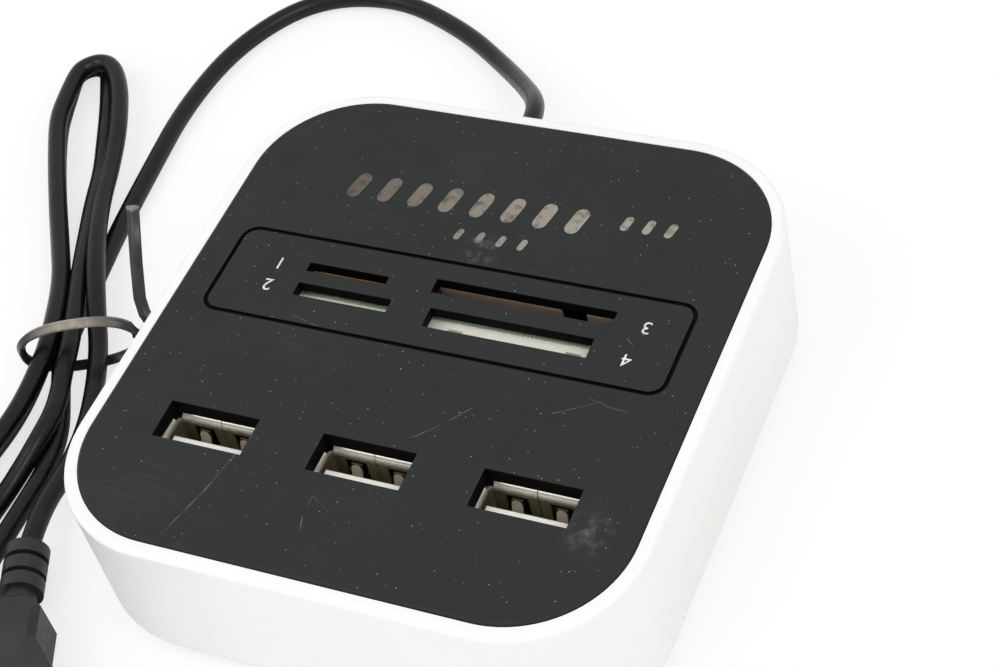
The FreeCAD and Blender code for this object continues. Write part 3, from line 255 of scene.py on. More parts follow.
# Metal finishes: colour, tarnish, the roughness from and to, the stretch of the grain, and how metallic
# they are
METALS = {
    "contact_gold": ((0.95, 0.72, 0.34), (0.62, 0.44, 0.20), (0.2, 0.35), (7000, 7000, 900), 1.0),
    "cover_steel": ((0.50, 0.36, 0.28), (0.34, 0.24, 0.18), (0.4, 0.55), (700, 9000, 9000), 0.5),
    "cover_copper": ((0.85, 0.46, 0.24), (0.60, 0.28, 0.12), (0.4, 0.55), (700, 9000, 9000), 0.5),
    "crystal_can": ((0.72, 0.72, 0.70), (0.45, 0.45, 0.43), (0.25, 0.4), (900, 9000, 9000), 1.0),
    "screw_steel": ((0.66, 0.66, 0.68), (0.40, 0.38, 0.34), (0.3, 0.5), (4000, 4000, 4000), 1.0),
    "plug_steel": ((0.80, 0.78, 0.72), (0.55, 0.52, 0.45), (0.2, 0.35), (3000, 3000, 9000), 1.0),
}
TARNISH_SHARE = 0.6
METAL_GRAIN_DEPTH = 0.000008


def moulded(name):
    """A plain material whose colour drifts between two tones, with a fine grain."""
    colour, other, scale, roughness, grain, depth = MOULDED[name]
    finish = Finish(name, colour, sum(roughness) / 2)
    finish.colour(finish.mix(finish.patches(scale, 0.35, 0.65), colour, other))
    finish.rough(*roughness, scale * 3)
    finish.bump(finish.noise(grain), depth)
    return finish.material


def metal(name):
    """Brushed sheet or plating that is tarnished in patches."""
    colour, tarnish, roughness, stretch, metallic = METALS[name]
    finish = Finish(name, colour, sum(roughness) / 2, metallic)
    drift = finish.maths("MULTIPLY", finish.patches(420, 0.4, 0.75, detail=4.0), TARNISH_SHARE)
    finish.colour(finish.mix(drift, colour, tarnish))
    finish.rough(*roughness, 1.0, stretch)
    finish.bump(finish.noise(1.0, 2.0, stretch), METAL_GRAIN_DEPTH)
    return finish.material


def case_plastic():
    white = (0.86, 0.86, 0.85)
    yellowed = (0.83, 0.83, 0.81)
    finish = Finish("case_plastic", white, 0.3)
    finish.colour(finish.mix(finish.patches(40, 0.45, 0.75), white, yellowed))
    finish.rough(0.26, 0.38, scale=300)
    finish.bump(finish.noise(90, detail=1.0), depth=0.00001)
    return finish.material


# Marks on the plate: the points (x, y) along each scratch, and rubbed spots (middle, radius)
PLATE_SCRATCHES = [
    [(-0.0193, -0.0369), (-0.0170, -0.0294), (-0.0156, -0.0225), (-0.0148, -0.0191)],
    [(-0.0028, -0.0318), (-0.0036, -0.0293), (-0.0035, -0.0268), (-0.0006, -0.0285)],
    [(0.0047, -0.0156), (0.0066, -0.0138), (0.0084, -0.0118), (0.0101, -0.0096)],
    [(0.0200, -0.0080), (0.0224, -0.0066), (0.0251, -0.0049)],
    [(0.0236, -0.0047), (0.0265, -0.0055), (0.0289, -0.0056)],
    [(0.0262, 0.0040), (0.0248, 0.0052)],
    [(-0.0188, -0.0010), (-0.0122, -0.0026)],
]
SCRATCH_WIDTH = 0.00011
SCRATCH_STRENGTH = 0.4
PLATE_RUBBED = [((0.0305, -0.0234, PLATE_TOP), 0.0035), ((0.0010, 0.0150, PLATE_TOP), 0.0030)]
RUBBED_STRENGTH = 0.5
# Fine hairlines all over it: the turn of each set, and how much of it is left
PLATE_HAIRLINES = [(0.4, 0.36), (1.3, 0.38), (2.5, 0.36)]
HAIRLINE_STRENGTH = 0.06
# The windows, slots and groove lie inside this half width and half length, and below these depths their
# walls are painted shade, near black
PLATE_CUTS = (0.0345, 0.0300)
CUT_SHADE_DEPTHS = (0.00004, 0.00012)
PLATE_SHEEN = 0.22
CUT_SHEEN = 0.06


def plate_plastic():
    """Matt charcoal with hairlines, scratches, scuffed spots and specks, and painted shade, near black,
    inside its cuts.
    """
    charcoal = (0.0185, 0.0195, 0.0195)
    charcoal_worn = (0.0205, 0.0215, 0.0215)
    pale = (0.30, 0.30, 0.29)
    finish = Finish("plate_plastic", charcoal, 0.6, specular=PLATE_SHEEN)
    colour = finish.mix(finish.patches(60, 0.35, 0.7), charcoal, charcoal_worn)
    for turn, amount in PLATE_HAIRLINES:
        faint = finish.maths("MULTIPLY", finish.hairlines(turn, amount), HAIRLINE_STRENGTH)
        colour = finish.mix(faint, colour, pale)
    for points in PLATE_SCRATCHES:
        for start, end in zip(points, points[1:]):
            line = finish.scratch((*start, PLATE_TOP), (*end, PLATE_TOP), SCRATCH_WIDTH)
            faint = finish.maths("MULTIPLY", line, finish.patches(600, 0.35, 0.75, most=SCRATCH_STRENGTH))
            colour = finish.mix(faint, colour, pale)
    for middle, radius in PLATE_RUBBED:
        near = finish.span(finish.vector("DISTANCE", finish.place, middle, "Value"), radius, 0.0)
        blotch = finish.maths("MULTIPLY", near, finish.patches(700, 0.45, 0.8, detail=5.0))
        colour = finish.mix(finish.maths("MULTIPLY", blotch, RUBBED_STRENGTH), colour, pale)
    colour = finish.mix(finish.specks(scale=330, size=0.035, share=0.3), colour, pale)
    # Painted shade: inside the cuts, below the top, the walls are painted near black and lose most of their
    # sheen
    below = finish.span(finish.axis("Z"), PLATE_TOP - CUT_SHADE_DEPTHS[0], PLATE_TOP - CUT_SHADE_DEPTHS[1])
    across = finish.maths("LESS_THAN", finish.maths("ABSOLUTE", finish.axis("X")), PLATE_CUTS[0])
    along = finish.maths("LESS_THAN", finish.maths("ABSOLUTE", finish.axis("Y")), PLATE_CUTS[1])
    cut = finish.maths("MULTIPLY", below, finish.maths("MULTIPLY", across, along))
    finish.colour(finish.mix(cut, colour, grey(0.003)))
    finish.feed(finish.shader, "Specular IOR Level", finish.span(cut, 0.0, 1.0, PLATE_SHEEN, CUT_SHEEN))
    finish.rough(0.52, 0.66, scale=220)
    finish.bump(finish.noise(5200), depth=0.000012)
    return finish.material


# The ports' spacing and middle line, where their spring tabs stand and end, and where their lips begin: the
# lips are painted light, the sides below them painted shade
PORT_STEP = 0.0215
PORT_Y = -0.02057
TAB_REGION = (0.0045, 0.00247)
TAB_MIDDLE = 0.0029
TAB_HALF_WIDTH = 0.0007
TAB_TIP = 0.0183
TAB_ROUND = 0.0006
LIP_HEIGHTS = (0.0192, 0.0199)


def connector_steel():
    """Plated steel: lips painted light, the sides below them painted shade with tarnish patches, and spring
    tabs, pale from use, with painted shade at their tip corners.
    """
    lip_highlight = (1.0, 0.96, 0.86)
    wall_shade = (0.22, 0.19, 0.115)
    tarnish = (0.14, 0.12, 0.07)
    rubbed_and_highlight = (0.50, 0.46, 0.36)
    tab_corner_shade = (0.01, 0.01, 0.008)
    finish = Finish("connector_steel", lip_highlight, 0.2, metallic=1.0)
    # One plated steel in two painted tones: painted shade on the sides, with tarnish patches, and a painted
    # highlight on the lips above LIP_HEIGHTS
    shade_and_tarnish = finish.mix(finish.patches(420, 0.35, 0.7, detail=4.0), wall_shade, tarnish)
    lip = finish.span(finish.axis("Z"), *LIP_HEIGHTS)
    colour = finish.mix(lip, shade_and_tarnish, lip_highlight)
    wrapped = finish.node("ShaderNodeMath", operation="WRAP")
    for socket, value in enumerate((finish.axis("X"), PORT_STEP / 2, -PORT_STEP / 2)):
        finish.feed(wrapped, socket, value)
    across = finish.maths("ABSOLUTE", wrapped.outputs["Value"])
    depth = finish.maths("ABSOLUTE", finish.maths("SUBTRACT", finish.axis("Y"), PORT_Y))
    tab = finish.maths("MULTIPLY", finish.maths("LESS_THAN", across, TAB_REGION[0]),
                       finish.maths("LESS_THAN", depth, TAB_REGION[1]))
    # Painted shade: past a rounded outline, the square tabs' tip corners are painted near black, like the
    # shaded window behind them, so the tips read round
    side = finish.maths("ABSOLUTE", finish.maths("SUBTRACT", across, TAB_MIDDLE))
    past_side = finish.maths("MAXIMUM", finish.maths("SUBTRACT", side, TAB_HALF_WIDTH - TAB_ROUND))
    past_tip = finish.maths("MAXIMUM", finish.maths("SUBTRACT", finish.axis("Z"), TAB_TIP - TAB_ROUND))
    squares = [finish.maths("MULTIPLY", value, value) for value in (past_side, past_tip)]
    shaded_corner = finish.maths("GREATER_THAN", finish.maths("ADD", *squares), TAB_ROUND ** 2)
    tab_colour = finish.mix(shaded_corner, rubbed_and_highlight, tab_corner_shade)
    finish.colour(finish.mix(tab, colour, tab_colour))
    metallic = finish.mix(tab, finish.mix(lip, grey(0.5), grey(0.65)), grey(0.3))
    finish.feed(finish.shader, "Metallic", metallic)
    grain = finish.noise(1.0, 2.0, (1500, 1500, 600))
    smooth = finish.span(lip, 0.0, 1.0, 0.3, 0.16)
    uneven = finish.span(grain, *NOISE_RANGE, 0.0, 0.06)
    finish.feed(finish.shader, "Roughness", finish.maths("ADD", smooth, uneven))
    finish.bump(grain, depth=0.000002)
    return finish.material


# The boards: settings of the track pattern, and the axis and depth of each one's bare edge
TRACKS = {"Scale": 420.0, "Mortar Size": 0.035, "Brick Width": 1.7, "Row Height": 0.5}
BOARD_EDGES = {"main_board": ("X", 0.0001), "reader_board": ("Z", 0.0002)}
EDGE_BLUR = 0.00005


def board_green(name, edge_axis, edge_at):
    """Solder mask with paler tracks, and bare fibre past edge_at along one axis."""
    mask = (0.012, 0.075, 0.035)
    over_track = (0.03, 0.16, 0.07)
    resin = (0.22, 0.36, 0.24)
    glass = (0.85, 0.92, 0.74)
    finish = Finish(name, mask, 0.35)
    tracks = finish.node("ShaderNodeTexBrick")
    finish.feed(tracks, "Vector", finish.place)
    for socket, value in TRACKS.items():
        finish.feed(tracks, socket, value)
    for socket in ("Color1", "Color2"):
        finish.feed(tracks, socket, (*mask, 1))
    finish.feed(tracks, "Mortar", (*over_track, 1))
    fibre = finish.mix(finish.patches(5200, 0.4, 0.62, detail=4.0), resin, glass)
    edge = finish.span(finish.maths("ABSOLUTE", finish.axis(edge_axis)), edge_at - EDGE_BLUR, edge_at)
    finish.colour(finish.mix(edge, tracks.outputs["Color"], fibre))
    finish.rough(0.3, 0.6, scale=900)
    finish.bump(finish.noise(4000, detail=4.0), depth=0.00003)
    return finish.material


# Where the tinned leads end: as a share of a chip's height, and as a height above the capacitor's foot
CHIP_LEAD_SHARE = 0.35
CAPACITOR_LEAD_HEIGHT = 0.0012
LEAD_BLUR = 0.00002


def with_metal_below(name, colour, tin, height):
    """A moulded package whose leads, below that height, are tinned."""
    finish = Finish(name, colour, 0.5)
    lead = finish.span(finish.axis("Z"), height + LEAD_BLUR, height - LEAD_BLUR)
    paler = tuple(1.6 * part for part in colour)
    body = finish.mix(finish.patches(1800, 0.4, 0.7), colour, paler)
    finish.colour(finish.mix(lead, body, tin))
    finish.feed(finish.shader, "Metallic", lead)
    finish.rough(0.35, 0.6, scale=2200)
    finish.bump(finish.noise(5000), depth=0.00001)
    return finish.material


def wire_jacket():
    """Four wires side by side: red, white, green and black."""
    colours = [(0.55, 0.03, 0.02), (0.75, 0.75, 0.72), (0.03, 0.30, 0.06), grey(0.012)]
    finish = Finish("wire_jacket", grey(0.5), 0.45)
    low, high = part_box("cable_wires")
    ramp = finish.node("ShaderNodeValToRGB")
    ramp.color_ramp.interpolation = "CONSTANT"
    while len(ramp.color_ramp.elements) < len(colours):
        ramp.color_ramp.elements.new(1.0)
    for index, colour in enumerate(colours):
        ramp.color_ramp.elements[index].position = index / len(colours)
        ramp.color_ramp.elements[index].color = (*colour, 1)
    finish.feed(ramp, "Fac", finish.span(finish.axis("X"), low.x, high.x))
    dull = finish.patches(1500, 0.45, 0.8, most=0.25)
    finish.colour(finish.mix(dull, ramp.outputs["Color"], grey(0.2)))
    finish.rough(0.35, 0.55, scale=900)
    return finish.material


def cord_jacket():
    """Soft black with a sheen, slightly worn, with pale specks."""
    finish = Finish("cord_jacket", grey(0.004), 0.3, specular=0.32)
    colour = finish.mix(finish.patches(240, 0.45, 0.75, detail=4.0), grey(0.003), grey(0.007))
    finish.colour(finish.mix(finish.specks(scale=700, size=0.06, share=0.2), colour, (0.10, 0.10, 0.09)))
    finish.rough(0.24, 0.36, scale=600)
    finish.bump(finish.noise(2600), depth=0.000015)
    return finish.material


# The foil goes from brown to silver-beige between these places from left to right
FOIL_FADE = (-0.022, 0.012)


def foil():
    """Silver-beige foil that turns brown towards its left end."""
    brown = (0.15, 0.12, 0.10)
    silver = (0.42, 0.39, 0.33)
    bare = (0.05, 0.046, 0.042)
    finish = Finish("foil", (0.55, 0.50, 0.42), 0.35, metallic=0.8)
    tone = finish.mix(finish.span(finish.axis("X"), *FOIL_FADE), brown, silver)
    rubbed_and_highlight = finish.patches(900, 0.50, 0.70, detail=5.0, most=0.6)
    finish.colour(finish.mix(rubbed_and_highlight, tone, bare))
    finish.rough(0.3, 0.5, scale=1500)
    return finish.material


# Print on the plate: a numeral by each card slot, which reads from the cable's side, and rows of foil bars
SLOT_NUMERALS = {
    "1": (-0.0245, 0.0070),
    "2": (-0.0245, 0.0032),
    "3": (0.0265, 0.0075),
    "4": (0.0258, 0.0020),
}
NUMERAL_SIZE = 0.0028
NUMERAL_TURN = math.pi
# One row of bars: count, middle of the first bar (x, y), step, bar length and width
FOIL_ROWS = [
    (8, (-0.0200, 0.0225), 0.0045, 0.0046, 0.0020),
    (4, (-0.0030, 0.0170), 0.0030, 0.0020, 0.0009),
    (3, (0.0180, 0.0235), 0.0030, 0.0026, 0.0011),
]
FOIL_SLANT = math.radians(78)
BAR_END_POINTS = 7


def add_numerals(ink):
    for numeral, (x, y) in SLOT_NUMERALS.items():
        data = bpy.data.curves.new("numeral", "FONT")
        data.body = numeral
        data.size = NUMERAL_SIZE
        data.align_x = "CENTER"
        data.align_y = "CENTER"
        text = add_object("numeral_text", data)
        shape = text.evaluated_get(bpy.context.evaluated_depsgraph_get())
        mesh = bpy.data.meshes.new_from_object(shape)
        bpy.data.objects.remove(text)
        place = Matrix.Translation((x, y, PLATE_TOP + PRINT_LIFT))
        mesh.transform(place @ Matrix.Rotation(NUMERAL_TURN, 4, "Z"))
        add_piece("numeral_" + numeral, mesh, ink)


def bar_outline(middle, length, width, slant):
    """A straight bar with round ends, as a ring of points on the plate."""
    ring = []
    for side in (1, -1):
        for step in range(BAR_END_POINTS):
            angle = slant + math.pi * (step / (BAR_END_POINTS - 1) - 0.5) + (0 if side > 0 else math.pi)
            x = middle[0] + side * (length - width) / 2 * math.cos(slant) + width / 2 * math.cos(angle)
            y = middle[1] + side * (length - width) / 2 * math.sin(slant) + width / 2 * math.sin(angle)
            ring.append((x, y, PLATE_TOP + PRINT_LIFT))
    return ring


def add_foil_bars(finish):
    points, faces = [], []
    for count, first, step, length, width in FOIL_ROWS:
        for index in range(count):
            ring = bar_outline((first[0] + index * step, first[1]), length, width, FOIL_SLANT)
            faces.append(list(range(len(points), len(points) + len(ring))))
            points.extend(ring)
    mesh = bpy.data.meshes.new("foil_bars")
    mesh.from_pydata(points, [], faces)
    add_piece("foil_bars", mesh, finish)


# Dust on the plate: how much, the radii of its specks, and their flattened shape
DUST_SEED = 11
DUST_PER_SQUARE_METRE = 110000.0
DUST_SMALLEST = 0.00002
DUST_LARGEST = 0.00009
DUST_SHAPE = (1.0, 0.7, 0.45)
# A face belongs to the plate's top if it looks up this much and lies this near the top
LOOKS_UP = 0.99
NEAR_TOP = 0.00001


def plate_top_mesh():
    """The plate's flat top face alone."""
    plate = NODES["top_plate"].data
    mesh = bpy.data.meshes.new("dust_specks")
    top = []
    for face in plate.polygons:
        if face.normal.z > LOOKS_UP and face.center.z > PLATE_TOP - NEAR_TOP:
            top.append(list(face.vertices))
    mesh.from_pydata([vertex.co for vertex in plate.vertices], [], top)
    return mesh


def dust_tree(finish):
    """Geometry nodes that scatter flattened specks of random size and turn over a mesh."""
    tree = bpy.data.node_groups.new("dust", "GeometryNodeTree")
    tree.interface.new_socket("Geometry", in_out="INPUT", socket_type="NodeSocketGeometry")
    tree.interface.new_socket("Geometry", in_out="OUTPUT", socket_type="NodeSocketGeometry")
    for name in ("Density", "Smallest", "Largest"):
        tree.interface.new_socket(name, in_out="INPUT", socket_type="NodeSocketFloat")
    source = tree.nodes.new("NodeGroupInput")
    result = tree.nodes.new("NodeGroupOutput")
    spread = tree.nodes.new("GeometryNodeDistributePointsOnFaces")
    spread.inputs["Seed"].default_value = DUST_SEED
    speck = tree.nodes.new("GeometryNodeMeshIcoSphere")
    speck.inputs["Radius"].default_value = 1.0
    speck.inputs["Subdivisions"].default_value = 1
    flat = tree.nodes.new("GeometryNodeTransform")
    flat.inputs["Scale"].default_value = DUST_SHAPE
    size = tree.nodes.new("FunctionNodeRandomValue")
    turn = tree.nodes.new("FunctionNodeRandomValue")
    turn.data_type = "FLOAT_VECTOR"
    turn.inputs["Max"].default_value = (0.0, 0.0, 2 * math.pi)
    put = tree.nodes.new("GeometryNodeInstanceOnPoints")
    real = tree.nodes.new("GeometryNodeRealizeInstances")
    paint = tree.nodes.new("GeometryNodeSetMaterial")
    paint.inputs["Material"].default_value = finish
    size_limits = [socket for socket in size.inputs if socket.type == "VALUE" and socket.enabled]
    size_value = [socket for socket in size.outputs if socket.enabled][0]
    for start, end in (
        (source.outputs["Geometry"], spread.inputs["Mesh"]),
        (source.outputs["Density"], spread.inputs["Density"]),
        (source.outputs["Smallest"], size_limits[0]),
        (source.outputs["Largest"], size_limits[1]),
        (speck.outputs["Mesh"], flat.inputs["Geometry"]),
        (spread.outputs["Points"], put.inputs["Points"]),
        (flat.outputs["Geometry"], put.inputs["Instance"]),
        (turn.outputs["Value"], put.inputs["Rotation"]),
        (size_value, put.inputs["Scale"]),
        (put.outputs["Instances"], real.inputs["Geometry"]),
        (real.outputs["Geometry"], paint.inputs["Geometry"]),
        (paint.outputs["Geometry"], result.inputs["Geometry"]),
    ):
        tree.links.new(start, end)
    return tree


def add_dust(finish):
    carrier = add_object("dust_carrier", plate_top_mesh())
    modifier = carrier.modifiers.new("dust", "NODES")
    modifier.node_group = dust_tree(finish)
    values = {"Density": DUST_PER_SQUARE_METRE, "Smallest": DUST_SMALLEST, "Largest": DUST_LARGEST}
    for socket in modifier.node_group.interface.items_tree:
        if socket.name in values:
            modifier[socket.identifier] = values[socket.name]
    mesh = bpy.data.meshes.new_from_object(carrier.evaluated_get(bpy.context.evaluated_depsgraph_get()))
    bpy.data.objects.remove(carrier)
    add_piece("dust_specks", mesh, finish)


# The twist tie: a ring round the hank's waist, a twisted stretch, one short end and one long end
TIE_CENTRE = Vector((-0.0586, 0.0003, 0.00495))
TIE_TURN = math.radians(25)
TIE_OUT = Vector((math.cos(TIE_TURN), math.sin(TIE_TURN), 0.0))
TIE_NORMAL = Vector((-TIE_OUT.y, TIE_OUT.x, 0.0))
TIE_HALF_WIDTH = 0.0084
TIE_HALF_HEIGHT = 0.00425
TIE_SQUARENESS = 0.85
# The ring is open towards the twist by this many of its steps on either side
RING_STEPS = 48
RING_OPEN_STEPS = 3
TWIST_LENGTH = 0.0026
TWIST_TURNS = 1.0
TWIST_RADIUS = 0.00040
TWIST_STEPS = 12
TIE_SHORT_END = [Vector((-0.0474, 0.0060, 0.0040)), Vector((-0.0460, 0.0074, 0.0032))]
TIE_LONG_END = [Vector((-0.0494, 0.0059, 0.0050)), Vector((-0.0511, 0.0069, 0.0062)),
                Vector((-0.0519, 0.0080, 0.0080)), Vector((-0.0523, 0.0106, 0.0126)),
                Vector((-0.0527, 0.0147, 0.0196))]
TIE_END_ACROSS = Vector((0.92, 0.38, 0.0))
# The strip's section: half width and half thickness, the wire's swelling, and the share of the half width
# that it spreads over
TIE_STRIP = (0.00092, 0.00033)
TIE_WIRE = 0.00030
TIE_WIRE_SPREAD = 0.4
STRIP_SQUARENESS = 0.6
STRIP_POINTS = 20
# The film's painted highlight fades in between these distances from the ring's top, and its cut is pale over
# this length
TIE_HIGHLIGHT_FADE = (TIE_HALF_WIDTH * 0.85, 0.001)
TIE_CUT_LENGTH = 0.0004


def tie_plastic():
    """Dark glossy film with a painted beige highlight on top of the ring, pale at the long end's cut."""
    dark = (0.018, 0.017, 0.016)
    lighter = (0.030, 0.028, 0.025)
    beige = (0.30, 0.27, 0.22)
    cut_pale = (0.22, 0.21, 0.20)
    finish = Finish("tie_plastic", dark, 0.28)
    drift = finish.mix(finish.patches(500, 0.35, 0.65), dark, lighter)
    # Painted highlight: beige on top of the ring, broken up by noise
    top = TIE_CENTRE + Vector((0, 0, TIE_HALF_HEIGHT))
    near = finish.span(finish.vector("DISTANCE", finish.place, top, "Value"), *TIE_HIGHLIGHT_FADE)
    rubbed_and_highlight = finish.maths("MULTIPLY", near, finish.patches(900, 0.3, 0.6, detail=4.0, least=0.55))
    highlighted = finish.mix(rubbed_and_highlight, drift, beige)
    cut = finish.span(finish.axis("Z"), TIE_LONG_END[-1].z - TIE_CUT_LENGTH, TIE_LONG_END[-1].z)
    finish.colour(finish.mix(cut, highlighted, cut_pale))
    finish.rough(0.22, 0.34, scale=1500)
    finish.bump(finish.noise(3000), depth=0.00001)
    return finish.material


def signed_power(value, power):
    return math.copysign(abs(value) ** power, value)


def tie_path():
    """Points along the tie, each with the direction across the strip there."""
    twist_start = TIE_CENTRE + TIE_OUT * TIE_HALF_WIDTH
    inward, outward = [], []
    for step in range(TWIST_STEPS + 1):
        part = step / TWIST_STEPS
        angle = 2 * math.pi * TWIST_TURNS * part + math.pi / 2
        reach = twist_start + TIE_OUT * TWIST_LENGTH * part
        off = math.cos(angle) * TIE_NORMAL + math.sin(angle) * Vector((0, 0, 1))
        inward.insert(0, (reach + off * TWIST_RADIUS, off))
        outward.append((reach - off * TWIST_RADIUS, off))
    ring = []
    for step in range(RING_OPEN_STEPS, RING_STEPS - RING_OPEN_STEPS + 1):
        angle = 2 * math.pi * step / RING_STEPS
        along = TIE_OUT * TIE_HALF_WIDTH * signed_power(math.cos(angle), TIE_SQUARENESS)
        up = Vector((0, 0, TIE_HALF_HEIGHT * signed_power(math.sin(angle), TIE_SQUARENESS)))
        ring.append((TIE_CENTRE + along + up, TIE_NORMAL))
    short = [(point, TIE_END_ACROSS) for point in reversed(TIE_SHORT_END)]
    long = [(point, TIE_END_ACROSS) for point in TIE_LONG_END]
    return short + inward + ring + outward + long


def strip_section():
    """The strip's outline: thin at both edges, with the wire's swelling in the middle."""
    half, thin = TIE_STRIP
    outline = []
    for step in range(STRIP_POINTS):
        angle = 2 * math.pi * step / STRIP_POINTS
        across = half * math.cos(angle)
        swell = thin + TIE_WIRE * math.exp(-((across / (TIE_WIRE_SPREAD * half)) ** 2))
        outline.append((across, swell * signed_power(math.sin(angle), STRIP_SQUARENESS)))
    return outline


def swept_mesh(name, path, section):
    """The section carried along the path, closed at both ends."""
    points, faces = [], []
    count = len(section)
    for index, (place, across) in enumerate(path):
        ahead = path[min(index + 1, len(path) - 1)][0] - path[max(index - 1, 0)][0]
        ahead.normalize()
        side = (across - ahead * across.dot(ahead)).normalized()
        face = side.cross(ahead)
        points.extend(place + side * width + face * height for width, height in section)
        if index:
            for step in range(count):
                old, new = (index - 1) * count + step, (index - 1) * count + (step + 1) % count
                faces.append((old, old + count, new + count, new))
    faces.append(list(range(count)))
    faces.append(list(reversed(range(len(points) - count, len(points)))))
    mesh = bpy.data.meshes.new(name)
    mesh.from_pydata(points, [], faces)
    mesh.shade_smooth()
    return mesh


def add_tie(finish):
    mesh = swept_mesh("tie_strip", tie_path(), strip_section())
    tie = add_piece("tie_strip", mesh, finish)
    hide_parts("twist_tie")
    return tie


# The cord's route from the gland to the hank, and from the hank to the plug
CORD_LEAD = [
    CORD_EXIT, (-0.0080, 0.0494, 0.0110), (-0.0095, 0.0550, 0.0096),
    (-0.0139, 0.0609, 0.0063), (-0.0212, 0.0684, 0.0027), (-0.0316, 0.0762, 0.0015),
    (-0.0455, 0.0816, 0.0016), (-0.0594, 0.0788, 0.0015), (-0.0672, 0.0665, 0.0016),
    (-0.0694, 0.0515, 0.0015), (-0.0681, 0.0370, 0.0015), (-0.0669, 0.0250, 0.00145),
    (-0.0652, 0.0140, 0.00145), (-0.0638, 0.0065, 0.0018),
]
CORD_TAIL = [
    (-0.0573, 0.0019, 0.0024), (-0.0538, -0.0052, 0.0028), (-0.0515, -0.0119, 0.0027),
    (-0.0502, -0.0190, 0.0031), (-0.0499, -0.0266, 0.0039), (-0.0480, -0.0329, 0.0041),
]

# The height of the cord's middle where it lies on the table
ON_TABLE = 0.00145
# Steps from the hank's first turn to its second one that hold over several points
NESTED = (0.0014, 0.0, 0.00245)
STACKED = (0.0007, 0.0004, 0.00265)
ON_TOP = (0.0, 0.0003, 0.0028)
ACROSS = (0.0025, -0.0012, 0.00265)

# The hank's first turn, point by point, each with the step from there to the second turn
HANK_TURN = [
    # from the waist along the right side
    (-0.0622, -0.0003, 0.00240, (0.0019, 0.0007, 0.00245)),
    (-0.0605, -0.0040, 0.00190, (0.0017, -0.0006, 0.0026)),
    (-0.0587, -0.0074, 0.00150, (0.0012, -0.0006, 0.0027)),
    (-0.0568, -0.0108, ON_TABLE, (0.0003, -0.0008, 0.00275)),
    (-0.0553, -0.0146, ON_TABLE, (-0.0012, -0.0015, 0.00235)),
    (-0.0545, -0.0193, ON_TABLE, (-0.0026, -0.0003, 0.00125)),
    (-0.0544, -0.0240, ON_TABLE, (-0.0035, 0.0, 0.00015)),
    (-0.0544, -0.0290, ON_TABLE, (-0.0039, 0.0, 0.0)),
    (-0.0543, -0.0350, ON_TABLE, (-0.0023, 0.0, 0.0018)),
    (-0.0538, -0.0395, ON_TABLE, (-0.0006, 0.0002, 0.0028)),
    # the front fold
    (-0.0533, -0.0437, ON_TABLE, ON_TOP),
    (-0.0529, -0.0484, ON_TABLE, ON_TOP),
    (-0.0549, -0.0526, ON_TABLE, ON_TOP),
    (-0.0587, -0.0553, ON_TABLE, ON_TOP),
    (-0.0634, -0.0557, ON_TABLE, ON_TOP),
    (-0.0676, -0.0537, ON_TABLE, ON_TOP),
    (-0.0703, -0.0499, ON_TABLE, ON_TOP),
    (-0.0707, -0.0452, ON_TABLE, ON_TOP),
    # back along the left side to the waist
    (-0.0690, -0.0395, ON_TABLE, (0.0006, 0.0003, 0.0027)),
    (-0.0669, -0.0338, ON_TABLE, NESTED),
    (-0.0654, -0.0289, ON_TABLE, NESTED),
    (-0.0645, -0.0240, ON_TABLE, NESTED),
    (-0.0636, -0.0150, ON_TABLE, NESTED),
    (-0.0637, -0.0100, 0.00150, NESTED),
    (-0.0639, -0.0055, 0.00220, NESTED),
    (-0.0644, -0.0013, 0.00290, (0.0013, 0.0007, 0.00245)),
    # past the waist along the left side
    (-0.0683, 0.0099, 0.00190, STACKED),
    (-0.0731, 0.0174, ON_TABLE, STACKED),
    (-0.0786, 0.0260, ON_TABLE, STACKED),
    (-0.0837, 0.0345, ON_TABLE, STACKED),
    (-0.0875, 0.0417, ON_TABLE, (0.0007, 0.0001, 0.00265)),
    (-0.0892, 0.0468, ON_TABLE, (0.0012, -0.0002, 0.00265)),
    (-0.0901, 0.0498, ON_TABLE, (0.0016, -0.0005, 0.00265)),
    (-0.0907, 0.0517, ON_TABLE, (0.0019, -0.0007, 0.00265)),
    (-0.0912, 0.0536, ON_TABLE, (0.0023, -0.0009, 0.00265)),
    # the back fold
    (-0.0907, 0.0553, ON_TABLE, ACROSS),
    (-0.0893, 0.0564, ON_TABLE, ACROSS),
    (-0.0876, 0.0565, ON_TABLE, ACROSS),
    (-0.0861, 0.0556, ON_TABLE, ACROSS),
    # back along the right side, and up over the strands at the waist
    (-0.0851, 0.0539, ON_TABLE, (0.0029, -0.0009, 0.00265)),
    (-0.0838, 0.0515, ON_TABLE, (0.0031, -0.0005, 0.00265)),
    (-0.0824, 0.0489, ON_TABLE, (0.0032, -0.0003, 0.00255)),
    (-0.0805, 0.0451, ON_TABLE, (0.0030, 0.0002, 0.00245)),
    (-0.0784, 0.0406, ON_TABLE, (0.0028, 0.0006, 0.00225)),
    (-0.0757, 0.0349, 0.00150, (0.0025, 0.0, 0.0021)),
    (-0.0728, 0.0275, 0.00240, (0.0024, 0.0, 0.0020)),
    (-0.0696, 0.0207, 0.00340, (0.0024, 0.0, 0.0018)),
    (-0.0663, 0.0133, 0.00420, (0.0030, 0.0, 0.0010)),
    (-0.0631, 0.0066, 0.00460, (0.0034, 0.0, -0.0004)),
]
HANK_TURNS = 2


def cord_route():
    route = list(CORD_LEAD)
    for turn in range(HANK_TURNS):
        for x, y, z, step in HANK_TURN:
            route.append((x + turn * step[0], y + turn * step[1], z + turn * step[2]))
    return route + CORD_TAIL


